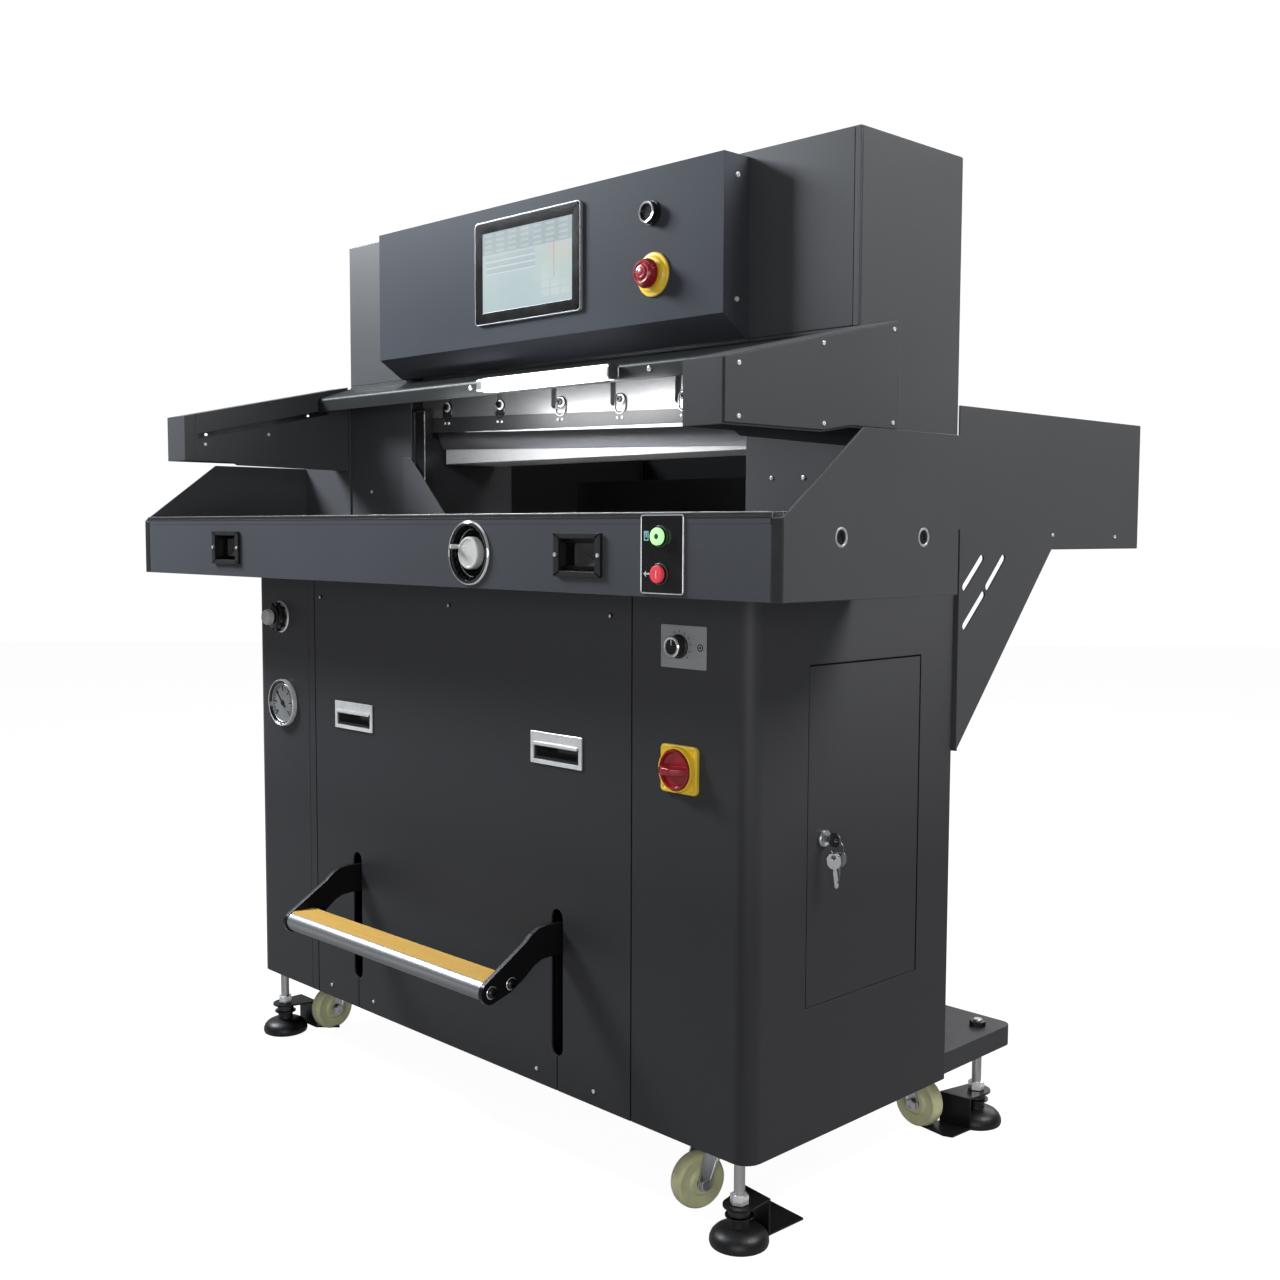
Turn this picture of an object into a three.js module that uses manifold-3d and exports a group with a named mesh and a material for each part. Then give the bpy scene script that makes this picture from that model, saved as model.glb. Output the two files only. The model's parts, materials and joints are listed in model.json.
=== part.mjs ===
// A programmable paper cutter: a guillotine with a hydraulic clamp and knife, a powered back gauge,
// light-curtain arms, a control box with a touchscreen, a foot pedal, casters and levelling feet.
// Millimetres, +X to the operator's right, +Y to the back, +Z up, the floor at z = 0.
import * as THREE from "three";
import { mergeVertices } from "three/addons/utils/BufferGeometryUtils.js";
import Module from "manifold-3d";

const wasm = await Module();
wasm.setup();

// Clearances and stock.
const seatGap = 0.3;
const seamGap = 0.8;
const overrun = 8;
const sheet = 3;
const weldDistance = 0.0005;

// Round pieces.
const roundSides = 24;
const smallSides = 16;
const bendSteps = 5;

// Cabinet and columns. The cabinet's front face is y = 0.
const bodyHalfWidth = 566;
const bodyDepth = 420;
const bodyCorner = 24;
const columnFront = 196;

// Heights, each from the one below it or from the table's top.
const bodyBottom = 112;
const tableTop = 900;
const apronHeight = 95;
const throatHeight = 236;
const headHeight = 245;
const apronBottom = tableTop - apronHeight;
const headBottom = tableTop + throatHeight;
const headTop = headBottom + headHeight;

// How far things stand below the apron, over the table's top and round the head.
const belowApron = { regulator: 72, dial: 67, gauge: 217, isolator: 219, handle: 221, doorTop: 90 };
const onApron = { recess: 45.5, handwheel: 45, start: 68, stop: 26 };
const overTable = {
  guardBottom: -46,
  guardTop: 151,
  bracketTop: -17,
  slantFoot: -6,
  sideGuard: 93,
  clamp: 94,
};
const underHead = { armFront: 70, armBack: 1, armPlate: 10, canopyFold: 23, crossbeam: 26 };
const inHead = { pivot: 29, boxBottom: 29, boxTop: 8, plateTop: 141, cylinderTop: 7 };

// How far things stand in from the cabinet's sides.
const inset = {
  leftSeam: 166,
  rightSeam: 202,
  rearSeam: 86,
  portal: 185,
  beam: 62,
  foot: 34,
  isolator: 114,
  dial: 117,
  regulator: 80,
  gauge: 89,
  leftRecess: 132.5,
  rightRecess: 163.5,
  handwheel: 373,
  buttons: 26,
  boxLeft: 168,
  boxRight: 182,
  frontLeftCaster: 76,
  frontRightCaster: 129,
  rearCaster: 116,
};
const leftSeam = bodyHalfWidth - inset.leftSeam;
const rightSeam = bodyHalfWidth - inset.rightSeam;
const rearSeam = bodyHalfWidth - inset.rearSeam;
const portalHalfWidth = bodyHalfWidth - inset.portal;

// How far things stand behind the cabinet's back.
const behind = {
  rearCross: 30,
  beam: 184,
  caster: 66,
  screw: 8,
  gaugeFace: 140,
  bracketEdge: 244,
  bracketTop: 254,
  guard: 520,
};

// Front table.
const apronFront = -126;
const tableThickness = 12;
const wingReach = 151;
const wingHalfWidth = bodyHalfWidth + wingReach;
const tableBottom = tableTop - tableThickness;
const bodyTop = apronBottom - seatGap;
const bodyInner = bodyHalfWidth - sheet;
const wingInner = wingHalfWidth - sheet;
const guardReturn = 17;
const apronHalfWidth = wingHalfWidth - guardReturn - seatGap;
const apronBack = apronFront + sheet;

// Cutting line.
const cutPlane = 260;
const bladeThickness = 12;
const clampFront = 262;
const clampToBack = 40;
const knifeClearance = 9;
const clampDepth = bodyDepth - clampFront - clampToBack;
const knifeHalfWidth = portalHalfWidth - knifeClearance;

// Colours.
const charcoal = finish(0x45474c, 0.55, 0.35);
const darkPaint = finish(0x24262a, 0.6, 0.3);
const blackPlastic = finish(0x111214, 0.5, 0);
const castIron = finish(0x3c3e42, 0.7, 0.5);
const brushedSteel = finish(0xb9bcc0, 0.35, 0.9);
const chrome = finish(0xd6d8da, 0.15, 1);
const rubber = finish(0x15161a, 0.85, 0);
const nylon = finish(0xd9dcc0, 0.5, 0);
const yellow = finish(0xf0b40c, 0.5, 0);
const red = finish(0xc41a26, 0.4, 0);
const green = finish(0x4fc45e, 0.4, 0);
const screenBlue = finish(0xbfd0d4, 0.2, 0);
const lampWhite = finish(0xffffff, 0.4, 0);
const cream = finish(0xe6e2d0, 0.6, 0);

function finish(color, roughness, metalness) {
  return new THREE.MeshStandardMaterial({ color, roughness, metalness });
}

// A closed geometry as a solid that can be joined and cut.
function solidOf(geometry) {
  geometry.deleteAttribute("normal");
  geometry.deleteAttribute("uv");
  const merged = mergeVertices(geometry, weldDistance);
  return new wasm.Manifold(
    new wasm.Mesh({
      numProp: 3,
      vertProperties: merged.attributes.position.array,
      triVerts: new Uint32Array(merged.index.array),
    }),
  );
}

function geometryOf(solid) {
  const mesh = solid.getMesh();
  const geometry = new THREE.BufferGeometry();
  geometry.setAttribute("position", new THREE.BufferAttribute(mesh.vertProperties, 3));
  geometry.setIndex(new THREE.BufferAttribute(mesh.triVerts, 1));
  geometry.computeVertexNormals();
  return geometry;
}

function join(first, ...others) {
  return others.reduce((whole, other) => whole.add(other), first);
}

function cut(first, ...others) {
  return others.reduce((whole, other) => whole.subtract(other), first);
}

// A box between two limits on each axis, given in either order.
function block(x0, x1, y0, y1, z0, z1) {
  const geometry = new THREE.BoxGeometry(Math.abs(x1 - x0), Math.abs(y1 - y0), Math.abs(z1 - z0));
  geometry.translate((x0 + x1) / 2, (y0 + y1) / 2, (z0 + z1) / 2);
  return solidOf(geometry);
}

function extruded(points, length) {
  const shape = new THREE.Shape(points.map(([u, v]) => new THREE.Vector2(u, v)));
  return new THREE.ExtrudeGeometry(shape, { depth: length, bevelEnabled: false });
}

// An outline of [y, z] points run along X.
function prismX(points, x0, x1) {
  const geometry = extruded(points, Math.abs(x1 - x0));
  const turn = new THREE.Matrix4().makeBasis(
    new THREE.Vector3(0, 1, 0),
    new THREE.Vector3(0, 0, 1),
    new THREE.Vector3(1, 0, 0),
  );
  return solidOf(geometry.applyMatrix4(turn).translate(Math.min(x0, x1), 0, 0));
}

// An outline of [x, z] points run along Y.
function prismY(points, y0, y1) {
  const geometry = extruded(points, Math.abs(y1 - y0));
  const turn = new THREE.Matrix4().makeBasis(
    new THREE.Vector3(1, 0, 0),
    new THREE.Vector3(0, 0, 1),
    new THREE.Vector3(0, -1, 0),
  );
  return solidOf(geometry.applyMatrix4(turn).translate(0, Math.max(y0, y1), 0));
}

// An outline of [x, y] points run along Z.
function prismZ(points, z0, z1) {
  return solidOf(extruded(points, Math.abs(z1 - z0)).translate(0, 0, Math.min(z0, z1)));
}

// Round bars along each axis: the two other coordinates of the axis, then the two ends.
function rodX(radius, y, z, x0, x1, sides = smallSides) {
  const geometry = new THREE.CylinderGeometry(radius, radius, Math.abs(x1 - x0), sides);
  return solidOf(geometry.rotateZ(Math.PI / 2).translate((x0 + x1) / 2, y, z));
}

function rodY(radius, x, z, y0, y1, sides = smallSides) {
  const geometry = new THREE.CylinderGeometry(radius, radius, Math.abs(y1 - y0), sides);
  return solidOf(geometry.translate(x, (y0 + y1) / 2, z));
}

function rodZ(radius, x, y, z0, z1, sides = smallSides) {
  const geometry = new THREE.CylinderGeometry(radius, radius, Math.abs(z1 - z0), sides);
  return solidOf(geometry.rotateX(Math.PI / 2).translate(x, y, (z0 + z1) / 2));
}

// A turned piece: [radius, along] points from one end of the axis to the other.
function turned(points, sides = roundSides) {
  const profile = points.map(([radius, along]) => new THREE.Vector2(radius, along));
  return new THREE.LatheGeometry(profile, sides);
}

// A turned piece that points to the operator, its profile's zero at y = 0.
function turnedToFront(points, sides = roundSides) {
  return solidOf(turned(points, sides).rotateX(Math.PI));
}

function turnedUp(points, sides = roundSides) {
  return solidOf(turned(points, sides).rotateX(Math.PI / 2));
}

// Points along an arc, angles in degrees.
function arc(u, v, radius, from, to, steps = bendSteps) {
  return Array.from({ length: steps + 1 }, (_, i) => {
    const angle = THREE.MathUtils.degToRad(from + ((to - from) * i) / steps);
    return [u + radius * Math.cos(angle), v + radius * Math.sin(angle)];
  });
}

// A slot with round ends between two points of an outline plane.
function slotOutline([u0, v0], [u1, v1], radius) {
  const heading = THREE.MathUtils.radToDeg(Math.atan2(v1 - v0, u1 - u0));
  return [
    ...arc(u1, v1, radius, heading - 90, heading + 90),
    ...arc(u0, v0, radius, heading + 90, heading + 270),
  ];
}

function part(name, solid, material, parent = machine) {
  const mesh = new THREE.Mesh(geometryOf(solid), material);
  mesh.name = name;
  parent.add(mesh);
  return mesh;
}

function groupAt(x, y, z, parent = machine) {
  const group = new THREE.Group();
  group.position.set(x, y, z);
  parent.add(group);
  return group;
}

const machine = new THREE.Group();

// Base frame: two side beams that run out behind the cabinet, cross beams and a deck plate.
const beam = {
  inner: bodyHalfWidth - inset.beam,
  bottom: 117,
  height: 30,
  corner: 16,
  back: bodyDepth + behind.beam,
  crossWidth: 70,
};
const deckThickness = 8;
const frontCross = 70;
const rearCross = bodyDepth + behind.rearCross;
const beamOuter = bodyInner - seatGap;
const beamFront = sheet + seatGap;
const beamTop = beam.bottom + beam.height;
const deckTop = beamTop;

// Levelling feet, by place on the base frame.
const footFromBeamEnd = 47;
const foot = {
  x: bodyHalfWidth - inset.foot,
  front: 25,
  rear: beam.back - footFromBeamEnd,
  rodRadius: 7,
  padRadius: 37.5,
  padRim: 9,
  shoulderRadius: 30,
  shoulder: 22,
  padHeight: 36,
};
const feetPlaces = {
  front_left: [-foot.x, foot.front],
  front_right: [foot.x, foot.front],
  rear_left: [-foot.x, foot.rear],
  rear_right: [foot.x, foot.rear],
};

function baseFrame() {
  const pieces = [-1, 1].map((side) =>
    block(side * beam.inner, side * beamOuter, beamFront, beam.back, beam.bottom, beamTop),
  );
  for (const front of [beamFront, frontCross, rearCross, beam.back - beam.crossWidth]) {
    pieces.push(block(-beamOuter, beamOuter, front, front + beam.crossWidth, beam.bottom, beamTop));
  }
  pieces.push(block(-beamOuter, beamOuter, beamFront, beam.back, deckTop - deckThickness, deckTop));
  const frontRound = bodyCorner - sheet - seatGap;
  const frontX = bodyHalfWidth - bodyCorner;
  const rearX = beamOuter - beam.corner;
  const plan = prismZ(
    [
      ...arc(-frontX, bodyCorner, frontRound, 180, 270),
      ...arc(frontX, bodyCorner, frontRound, 270, 360),
      ...arc(rearX, beam.back - beam.corner, beam.corner, 0, 90),
      ...arc(-rearX, beam.back - beam.corner, beam.corner, 90, 180),
    ],
    beam.bottom,
    beamTop,
  );
  const bores = Object.values(feetPlaces).map(([x, y]) =>
    rodZ(foot.rodRadius + seatGap, x, y, beam.bottom - overrun, beamTop + overrun),
  );
  return cut(join(...pieces).intersect(plan), ...bores);
}

part("base_frame", baseFrame(), darkPaint);

// Covers: each wraps from its front seam round the side to its back seam, with the column above.
const isolator = {
  x: bodyHalfWidth - inset.isolator,
  z: apronBottom - belowApron.isolator,
  width: 62,
  height: 60,
  thickness: 6,
  stemRadius: 8,
};
const dial = {
  x: bodyHalfWidth - inset.dial,
  z: apronBottom - belowApron.dial,
  radius: 15,
  stemRadius: 6,
};
const regulator = {
  x: inset.regulator - bodyHalfWidth,
  z: apronBottom - belowApron.regulator,
  radius: 20,
  stemRadius: 9,
};
const gauge = {
  x: inset.gauge - bodyHalfWidth,
  z: apronBottom - belowApron.gauge,
  radius: 40,
  bodyRadius: 32,
  bodyDepth: 30,
  rimHeight: 9,
};
const doorToBack = 77;
const door = {
  front: 107,
  back: bodyDepth - doorToBack,
  bottom: 285,
  top: apronBottom - belowApron.doorTop,
  lockY: 138,
  lockZ: 497,
};

function cover(side, frontSeam) {
  const corner = bodyHalfWidth - bodyCorner;
  const outline = [
    [frontSeam + seamGap / 2, 0],
    ...arc(corner, bodyCorner, bodyCorner, -90, 0),
    [bodyHalfWidth, bodyDepth],
    [rearSeam + seamGap / 2, bodyDepth],
    [rearSeam + seamGap / 2, bodyDepth - sheet],
    [bodyInner, bodyDepth - sheet],
    ...arc(corner, bodyCorner, bodyCorner - sheet, 0, -90),
    [frontSeam + seamGap / 2, sheet],
  ];
  const column = [
    [portalHalfWidth, columnFront],
    [bodyHalfWidth, columnFront],
    [bodyHalfWidth, bodyDepth],
    [rearSeam + seamGap / 2, bodyDepth],
    [rearSeam + seamGap / 2, bodyDepth - sheet],
    [bodyInner, bodyDepth - sheet],
    [bodyInner, columnFront + sheet],
    [portalHalfWidth, columnFront + sheet],
  ];
  const onSide = ([x, y]) => [side * x, y];
  const beamNotch = block(
    side * (rearSeam - overrun),
    side * bodyInner,
    bodyDepth - sheet - overrun,
    bodyDepth + overrun,
    bodyBottom - overrun,
    beamTop + seatGap,
  );
  return cut(
    join(
      prismZ(outline.map(onSide), bodyBottom, bodyTop),
      prismZ(column.map(onSide), bodyTop - sheet, headBottom - seatGap),
    ),
    beamNotch,
  );
}

const leftCover = cut(
  cover(-1, leftSeam),
  rodY(regulator.stemRadius + seatGap, regulator.x, regulator.z, -overrun, overrun),
  rodY(gauge.bodyRadius + seatGap, gauge.x, gauge.z, -overrun, overrun, roundSides),
);
const rightCover = cut(
  cover(1, rightSeam),
  rodY(isolator.stemRadius + seatGap, isolator.x, isolator.z, -overrun, overrun),
  rodY(dial.stemRadius + seatGap, dial.x, dial.z, -overrun, overrun),
  block(
    bodyInner - overrun,
    bodyHalfWidth + overrun,
    door.front,
    door.back,
    door.bottom,
    door.top,
  ),
);
part("left_cover", leftCover, charcoal);
part("right_cover", rightCover, charcoal);

// Front panel with its two recessed handles and the slots that the pedal's arms come out of.
const handleFromSeam = { left: 133, right: 144.5 };
const handle = {
  left: handleFromSeam.left - leftSeam,
  right: rightSeam - handleFromSeam.right,
  z: apronBottom - belowApron.handle,
  width: 104,
  height: 44,
  rim: 8,
  depth: 24,
  wall: 2,
};
const handleFlange = 2.5;
const pedalFromSeam = { left: 137, right: 144 };
const pedal = {
  left: pedalFromSeam.left - leftSeam,
  right: rightSeam - pedalFromSeam.right,
  slotHalfWidth: 11.5,
  slotTop: 366,
  slotBottom: 161,
  armHalfThickness: 4,
};
const handleHole = {
  halfWidth: handle.width / 2 - handle.rim,
  halfHeight: handle.height / 2 - handle.rim,
};

function frontPanel() {
  const panel = block(
    -leftSeam + seamGap / 2,
    rightSeam - seamGap / 2,
    0,
    sheet,
    bodyBottom,
    bodyTop,
  );
  const holes = [handle.left, handle.right].map((x) =>
    block(
      x - handleHole.halfWidth,
      x + handleHole.halfWidth,
      -overrun,
      overrun,
      handle.z - handleHole.halfHeight,
      handle.z + handleHole.halfHeight,
    ),
  );
  const slots = [pedal.left, pedal.right].map((x) => {
    const top = [x, pedal.slotTop - pedal.slotHalfWidth];
    const bottom = [x, pedal.slotBottom + pedal.slotHalfWidth];
    return prismY(slotOutline(bottom, top, pedal.slotHalfWidth), -overrun, overrun);
  });
  return cut(panel, ...holes, ...slots);
}

// A chrome flange round a cup that is let into the panel, open to the front.
function panelHandle() {
  const outerWidth = handleHole.halfWidth - seatGap;
  const outerHeight = handleHole.halfHeight - seatGap;
  const flange = block(
    -handle.width / 2,
    handle.width / 2,
    -handleFlange - seatGap,
    -seatGap,
    -handle.height / 2,
    handle.height / 2,
  );
  const cup = block(-outerWidth, outerWidth, -handleFlange, handle.depth, -outerHeight, outerHeight);
  const finger = block(
    -outerWidth + handle.wall,
    outerWidth - handle.wall,
    -handleFlange - overrun,
    handle.depth - handle.wall,
    -outerHeight + handle.wall,
    outerHeight - handle.wall,
  );
  return cut(join(flange, cup), finger);
}

part("front_panel", frontPanel(), charcoal);
part("panel_handle_left", panelHandle(), chrome, groupAt(handle.left, 0, handle.z));
part("panel_handle_right", panelHandle(), chrome, groupAt(handle.right, 0, handle.z));

// Rear table guard and its brackets.
const guardOffset = 4;
const guard = {
  halfWidth: bodyHalfWidth + guardOffset,
  back: bodyDepth + behind.guard,
  bottom: tableTop + overTable.guardBottom,
  top: tableTop + overTable.guardTop,
};
const bracketHeight = 305;
const bracket = {
  low: tableTop + overTable.bracketTop - bracketHeight,
  top: tableTop + overTable.bracketTop,
  reachTop: bodyDepth + behind.bracketTop,
  reachEdge: bodyDepth + behind.bracketEdge,
  flange: 86,
  slotRadius: 5.5,
};
const bracketSlotShares = [
  [[0.054, 0.741], [0.22, 0.869]],
  [[0.283, 0.738], [0.44, 0.869]],
  [[0.062, 0.564], [0.239, 0.702]],
];
const guardFront = bodyDepth + seatGap;

part(
  "rear_panel",
  block(
    -rearSeam + seamGap / 2,
    rearSeam - seamGap / 2,
    bodyDepth - sheet,
    bodyDepth,
    beamTop + seatGap,
    guard.bottom - seatGap,
  ),
  charcoal,
);

function rearGuard() {
  const outer = guard.halfWidth;
  const inner = guard.halfWidth - sheet;
  const outline = [
    [-outer, guardFront],
    [-outer, guard.back],
    [outer, guard.back],
    [outer, guardFront],
    [inner, guardFront],
    [inner, guard.back - sheet],
    [-inner, guard.back - sheet],
    [-inner, guardFront],
  ];
  return prismZ(outline, guard.bottom, guard.top);
}

function rearBracket(side) {
  const inner = guard.halfWidth + seatGap;
  const web = prismX(
    [
      [guardFront, bracket.low],
      [guardFront, bracket.top],
      [bracket.reachTop, bracket.top],
      [bracket.reachEdge, guard.bottom],
    ],
    side * inner,
    side * (inner + sheet),
  );
  const flange = block(
    side * (inner + sheet - bracket.flange),
    side * (inner + sheet),
    guardFront,
    guardFront + sheet,
    bracket.low,
    guard.bottom - seatGap,
  );
  const reach = bracket.reachTop - guardFront;
  const rise = bracket.top - bracket.low;
  const placed = ([along, up]) => [guardFront + along * reach, bracket.low + up * rise];
  const slots = bracketSlotShares.map(([from, to]) =>
    prismX(
      slotOutline(placed(from), placed(to), bracket.slotRadius),
      side * (inner - overrun),
      side * (inner + overrun),
    ),
  );
  return cut(join(web, flange), ...slots);
}

part("rear_guard", rearGuard(), charcoal);
part("rear_bracket_left", rearBracket(-1), charcoal);
part("rear_bracket_right", rearBracket(1), charcoal);

// Table, cutting stick and the back gauge's screw.
const stick = { front: 248, width: 26, depth: 8 };
const screwToGuard = 13;
const screw = {
  radius: 10,
  drop: 18,
  collar: 16,
  lug: 12,
  front: bodyDepth + behind.screw,
  back: guard.back - screwToGuard,
};
const gaugeSlot = { halfWidth: 9, inset: 17 };
const tableFront = apronFront + 2;
const screwZ = tableBottom - screw.drop;
const lugHalfWidth = screw.radius + screw.lug;

function workTable() {
  const inner = wingInner - seatGap;
  const waist = portalHalfWidth - seatGap;
  const rear = guard.halfWidth - sheet - seatGap;
  const rightSide = [
    [apronHalfWidth, tableFront],
    [apronHalfWidth, apronBack + seatGap],
    [inner, apronBack + seatGap],
    [inner, columnFront - sheet - seatGap],
    [bodyHalfWidth, columnFront - sheet - seatGap],
    [bodyHalfWidth, columnFront - seatGap],
    [waist, columnFront - seatGap],
    [waist, guardFront],
    [rear, guardFront],
    [rear, guard.back - sheet - seatGap],
  ];
  const leftSide = rightSide.map(([x, y]) => [-x, y]).reverse();
  const plate = prismZ([...rightSide, ...leftSide], tableBottom, tableTop);
  const lugs = [screw.front, screw.back - screw.lug].map((y) =>
    block(
      -lugHalfWidth,
      lugHalfWidth,
      y,
      y + screw.lug,
      screwZ - screw.collar,
      tableBottom + tableThickness / 2,
    ),
  );
  const groove = block(
    -knifeHalfWidth,
    knifeHalfWidth,
    stick.front,
    stick.front + stick.width,
    tableTop - stick.depth,
    tableTop + overrun,
  );
  const slot = block(
    -gaugeSlot.halfWidth,
    gaugeSlot.halfWidth,
    screw.front + gaugeSlot.inset,
    screw.back - gaugeSlot.inset,
    tableBottom - overrun,
    tableTop + overrun,
  );
  const bore = rodY(screw.radius + seatGap, 0, screwZ, screw.front - overrun, screw.back + overrun);
  return cut(join(plate, ...lugs), groove, slot, bore);
}

part("work_table", workTable(), brushedSteel);
part(
  "cutting_stick",
  block(
    -knifeHalfWidth + seatGap,
    knifeHalfWidth - seatGap,
    stick.front + seatGap,
    stick.front + stick.width - seatGap,
    tableTop - stick.depth + seatGap,
    tableTop,
  ),
  cream,
);
part("leadscrew", rodY(screw.radius, 0, screwZ, screw.front, screw.back), brushedSteel);

const gaugeClearance = 12;
const backGauge = {
  face: bodyDepth + behind.gaugeFace,
  halfWidth: knifeHalfWidth - gaugeClearance,
  height: 70,
  fence: 12,
  carriageHalfWidth: 60,
  carriageHeight: 12,
  footReach: 190,
  footDepth: 25,
  nutHalfWidth: 18,
  nutHalfHeight: 14,
};

function backGaugeSolid() {
  const floor = tableTop + seatGap;
  const footBack = backGauge.face + backGauge.footReach;
  const footFront = footBack - backGauge.footDepth;
  const footHalf = gaugeSlot.halfWidth - seatGap;
  return cut(
    join(
      block(
        -backGauge.halfWidth,
        backGauge.halfWidth,
        backGauge.face,
        backGauge.face + backGauge.fence,
        floor,
        floor + backGauge.height,
      ),
      block(
        -backGauge.carriageHalfWidth,
        backGauge.carriageHalfWidth,
        backGauge.face,
        footBack,
        floor,
        floor + backGauge.carriageHeight,
      ),
      block(-footHalf, footHalf, footFront, footBack, screwZ, floor + backGauge.carriageHeight / 2),
      block(
        -backGauge.nutHalfWidth,
        backGauge.nutHalfWidth,
        footFront,
        footBack,
        screwZ - backGauge.nutHalfHeight,
        screwZ + backGauge.nutHalfHeight,
      ),
    ),
    rodY(screw.radius + seatGap, 0, screwZ, footFront - overrun, footBack + overrun),
  );
}

part("back_gauge", backGaugeSolid(), darkPaint);

// Apron under the front of the table, with a floor, two button recesses and the handwheel's cup.
const recess = {
  left: inset.leftRecess - bodyHalfWidth,
  right: bodyHalfWidth - inset.rightRecess,
  z: apronBottom + onApron.recess,
  width: 64,
  height: 40,
  depth: 38,
  wall: 2.5,
};
const pad = { width: 46, height: 28, thickness: 10, inset: 14, stemRadius: 6 };
const wheel = {
  x: bodyHalfWidth - inset.handwheel,
  z: apronBottom + onApron.handwheel,
  cupRadius: 35,
  cupDepth: 24,
  discRadius: 22.5,
  shaftRadius: 6,
};
const crank = { pinRadius: 3.5, reach: 27, rise: 8, length: 12 };
const stack = {
  x: bodyHalfWidth - inset.buttons,
  startZ: apronBottom + onApron.start,
  stopZ: apronBottom + onApron.stop,
  radius: 12.5,
  stemRadius: 8,
};
const apronTop = tableBottom - seatGap;

function frontApron() {
  const inner = wingInner - seatGap;
  const rightSide = [
    [apronHalfWidth, apronFront],
    [apronHalfWidth, apronBack + seatGap],
    [inner, apronBack + seatGap],
    [inner, columnFront - sheet - seatGap],
    [bodyHalfWidth, columnFront - sheet - seatGap],
    [bodyHalfWidth, columnFront - seatGap],
  ];
  const leftSide = rightSide.map(([x, y]) => [-x, y]).reverse();
  const floor = prismZ([...rightSide, ...leftSide], apronBottom, apronBottom + sheet);
  const face = block(
    -apronHalfWidth,
    apronHalfWidth,
    apronFront,
    apronBack,
    apronBottom,
    apronTop,
  );
  const returnLip = block(
    -apronHalfWidth,
    apronHalfWidth,
    apronFront,
    apronBack + guardReturn,
    apronTop - sheet,
    apronTop,
  );
  const halfWidth = recess.width / 2;
  const halfHeight = recess.height / 2;
  const places = [recess.left, recess.right];
  const boxes = places.map((x) =>
    block(
      x - halfWidth - recess.wall,
      x + halfWidth + recess.wall,
      apronFront,
      apronFront + recess.depth,
      recess.z - halfHeight - recess.wall,
      recess.z + halfHeight + recess.wall,
    ),
  );
  const hollows = places.map((x) =>
    block(
      x - halfWidth,
      x + halfWidth,
      apronFront - overrun,
      apronFront + recess.depth - recess.wall,
      recess.z - halfHeight,
      recess.z + halfHeight,
    ),
  );
  const padBores = places.map((x) =>
    rodY(pad.stemRadius + seatGap, x, recess.z, apronFront, apronFront + recess.depth + overrun),
  );
  const cup = rodY(
    wheel.cupRadius + recess.wall,
    wheel.x,
    wheel.z,
    apronFront,
    apronFront + wheel.cupDepth,
    roundSides,
  );
  const cupHollow = rodY(
    wheel.cupRadius,
    wheel.x,
    wheel.z,
    apronFront - overrun,
    apronFront + wheel.cupDepth - recess.wall,
    roundSides,
  );
  const shaftBore = rodY(
    wheel.shaftRadius + seatGap,
    wheel.x,
    wheel.z,
    apronFront,
    apronFront + wheel.cupDepth + overrun,
  );
  const buttonBores = [stack.startZ, stack.stopZ].map((z) =>
    rodY(stack.stemRadius + seatGap, stack.x, z, apronFront - overrun, apronBack + overrun),
  );
  return cut(
    join(floor, face, returnLip, ...boxes, cup),
    ...hollows,
    ...padBores,
    cupHollow,
    shaftBore,
    ...buttonBores,
  );
}

part("front_apron", frontApron(), charcoal);

// A dark pad inside each recess, on a stem through the recess's back wall.
function cutPad() {
  const back = pad.inset + pad.thickness;
  return join(
    block(-pad.width / 2, pad.width / 2, pad.inset, back, -pad.height / 2, pad.height / 2),
    rodY(pad.stemRadius, 0, 0, back - pad.thickness / 2, recess.depth + pad.stemRadius),
  );
}

part("cut_pad_left", cutPad(), blackPlastic, groupAt(recess.left, apronFront, recess.z));
part("cut_pad_right", cutPad(), blackPlastic, groupAt(recess.right, apronFront, recess.z));

// Handwheel: a disc with a crank pin to one side, on a shaft through the cup's back wall.
const wheelDisc = { front: -8, back: 8, edge: 2 };

function handwheel() {
  const disc = turnedToFront([
    [0, -wheelDisc.back],
    [wheel.discRadius, -wheelDisc.back],
    [wheel.discRadius, -wheelDisc.front - wheelDisc.edge],
    [wheel.discRadius - wheelDisc.edge, -wheelDisc.front],
    [0, -wheelDisc.front],
  ]);
  const shaft = rodY(
    wheel.shaftRadius,
    0,
    0,
    wheelDisc.front + wheelDisc.edge,
    wheel.cupDepth + wheel.shaftRadius,
  );
  const arm = block(
    -crank.reach,
    0,
    -crank.pinRadius,
    crank.pinRadius,
    crank.rise - crank.pinRadius,
    crank.rise + crank.pinRadius,
  );
  const pin = rodY(
    crank.pinRadius,
    -crank.reach,
    crank.rise,
    wheelDisc.front - crank.length,
    crank.pinRadius,
  );
  return join(disc, shaft, arm, pin);
}

part("handwheel", handwheel(), cream, groupAt(wheel.x, apronFront, wheel.z));

// A push button: a domed cap on a stem. Its zero is the panel's face.
function pushButton(radius, stemRadius, proud, lift, stemLength) {
  const shoulder = (radius + stemRadius) / 2;
  const crown = (proud - lift) / 3;
  return turnedToFront(
    [
      [0, -stemLength],
      [stemRadius, -stemLength],
      [stemRadius, lift],
      [radius, lift],
      [radius, proud - crown],
      [shoulder, proud],
      [0, proud],
    ],
    smallSides,
  );
}

const press = { lift: 3.6, proud: 9, stem: 18 };
for (const [name, z, paint] of [
  ["start_button", stack.startZ, green],
  ["stop_button", stack.stopZ, red],
]) {
  part(
    name,
    pushButton(stack.radius, stack.stemRadius, press.proud, press.lift, press.stem),
    paint,
    groupAt(stack.x, apronFront, z),
  );
}

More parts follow.
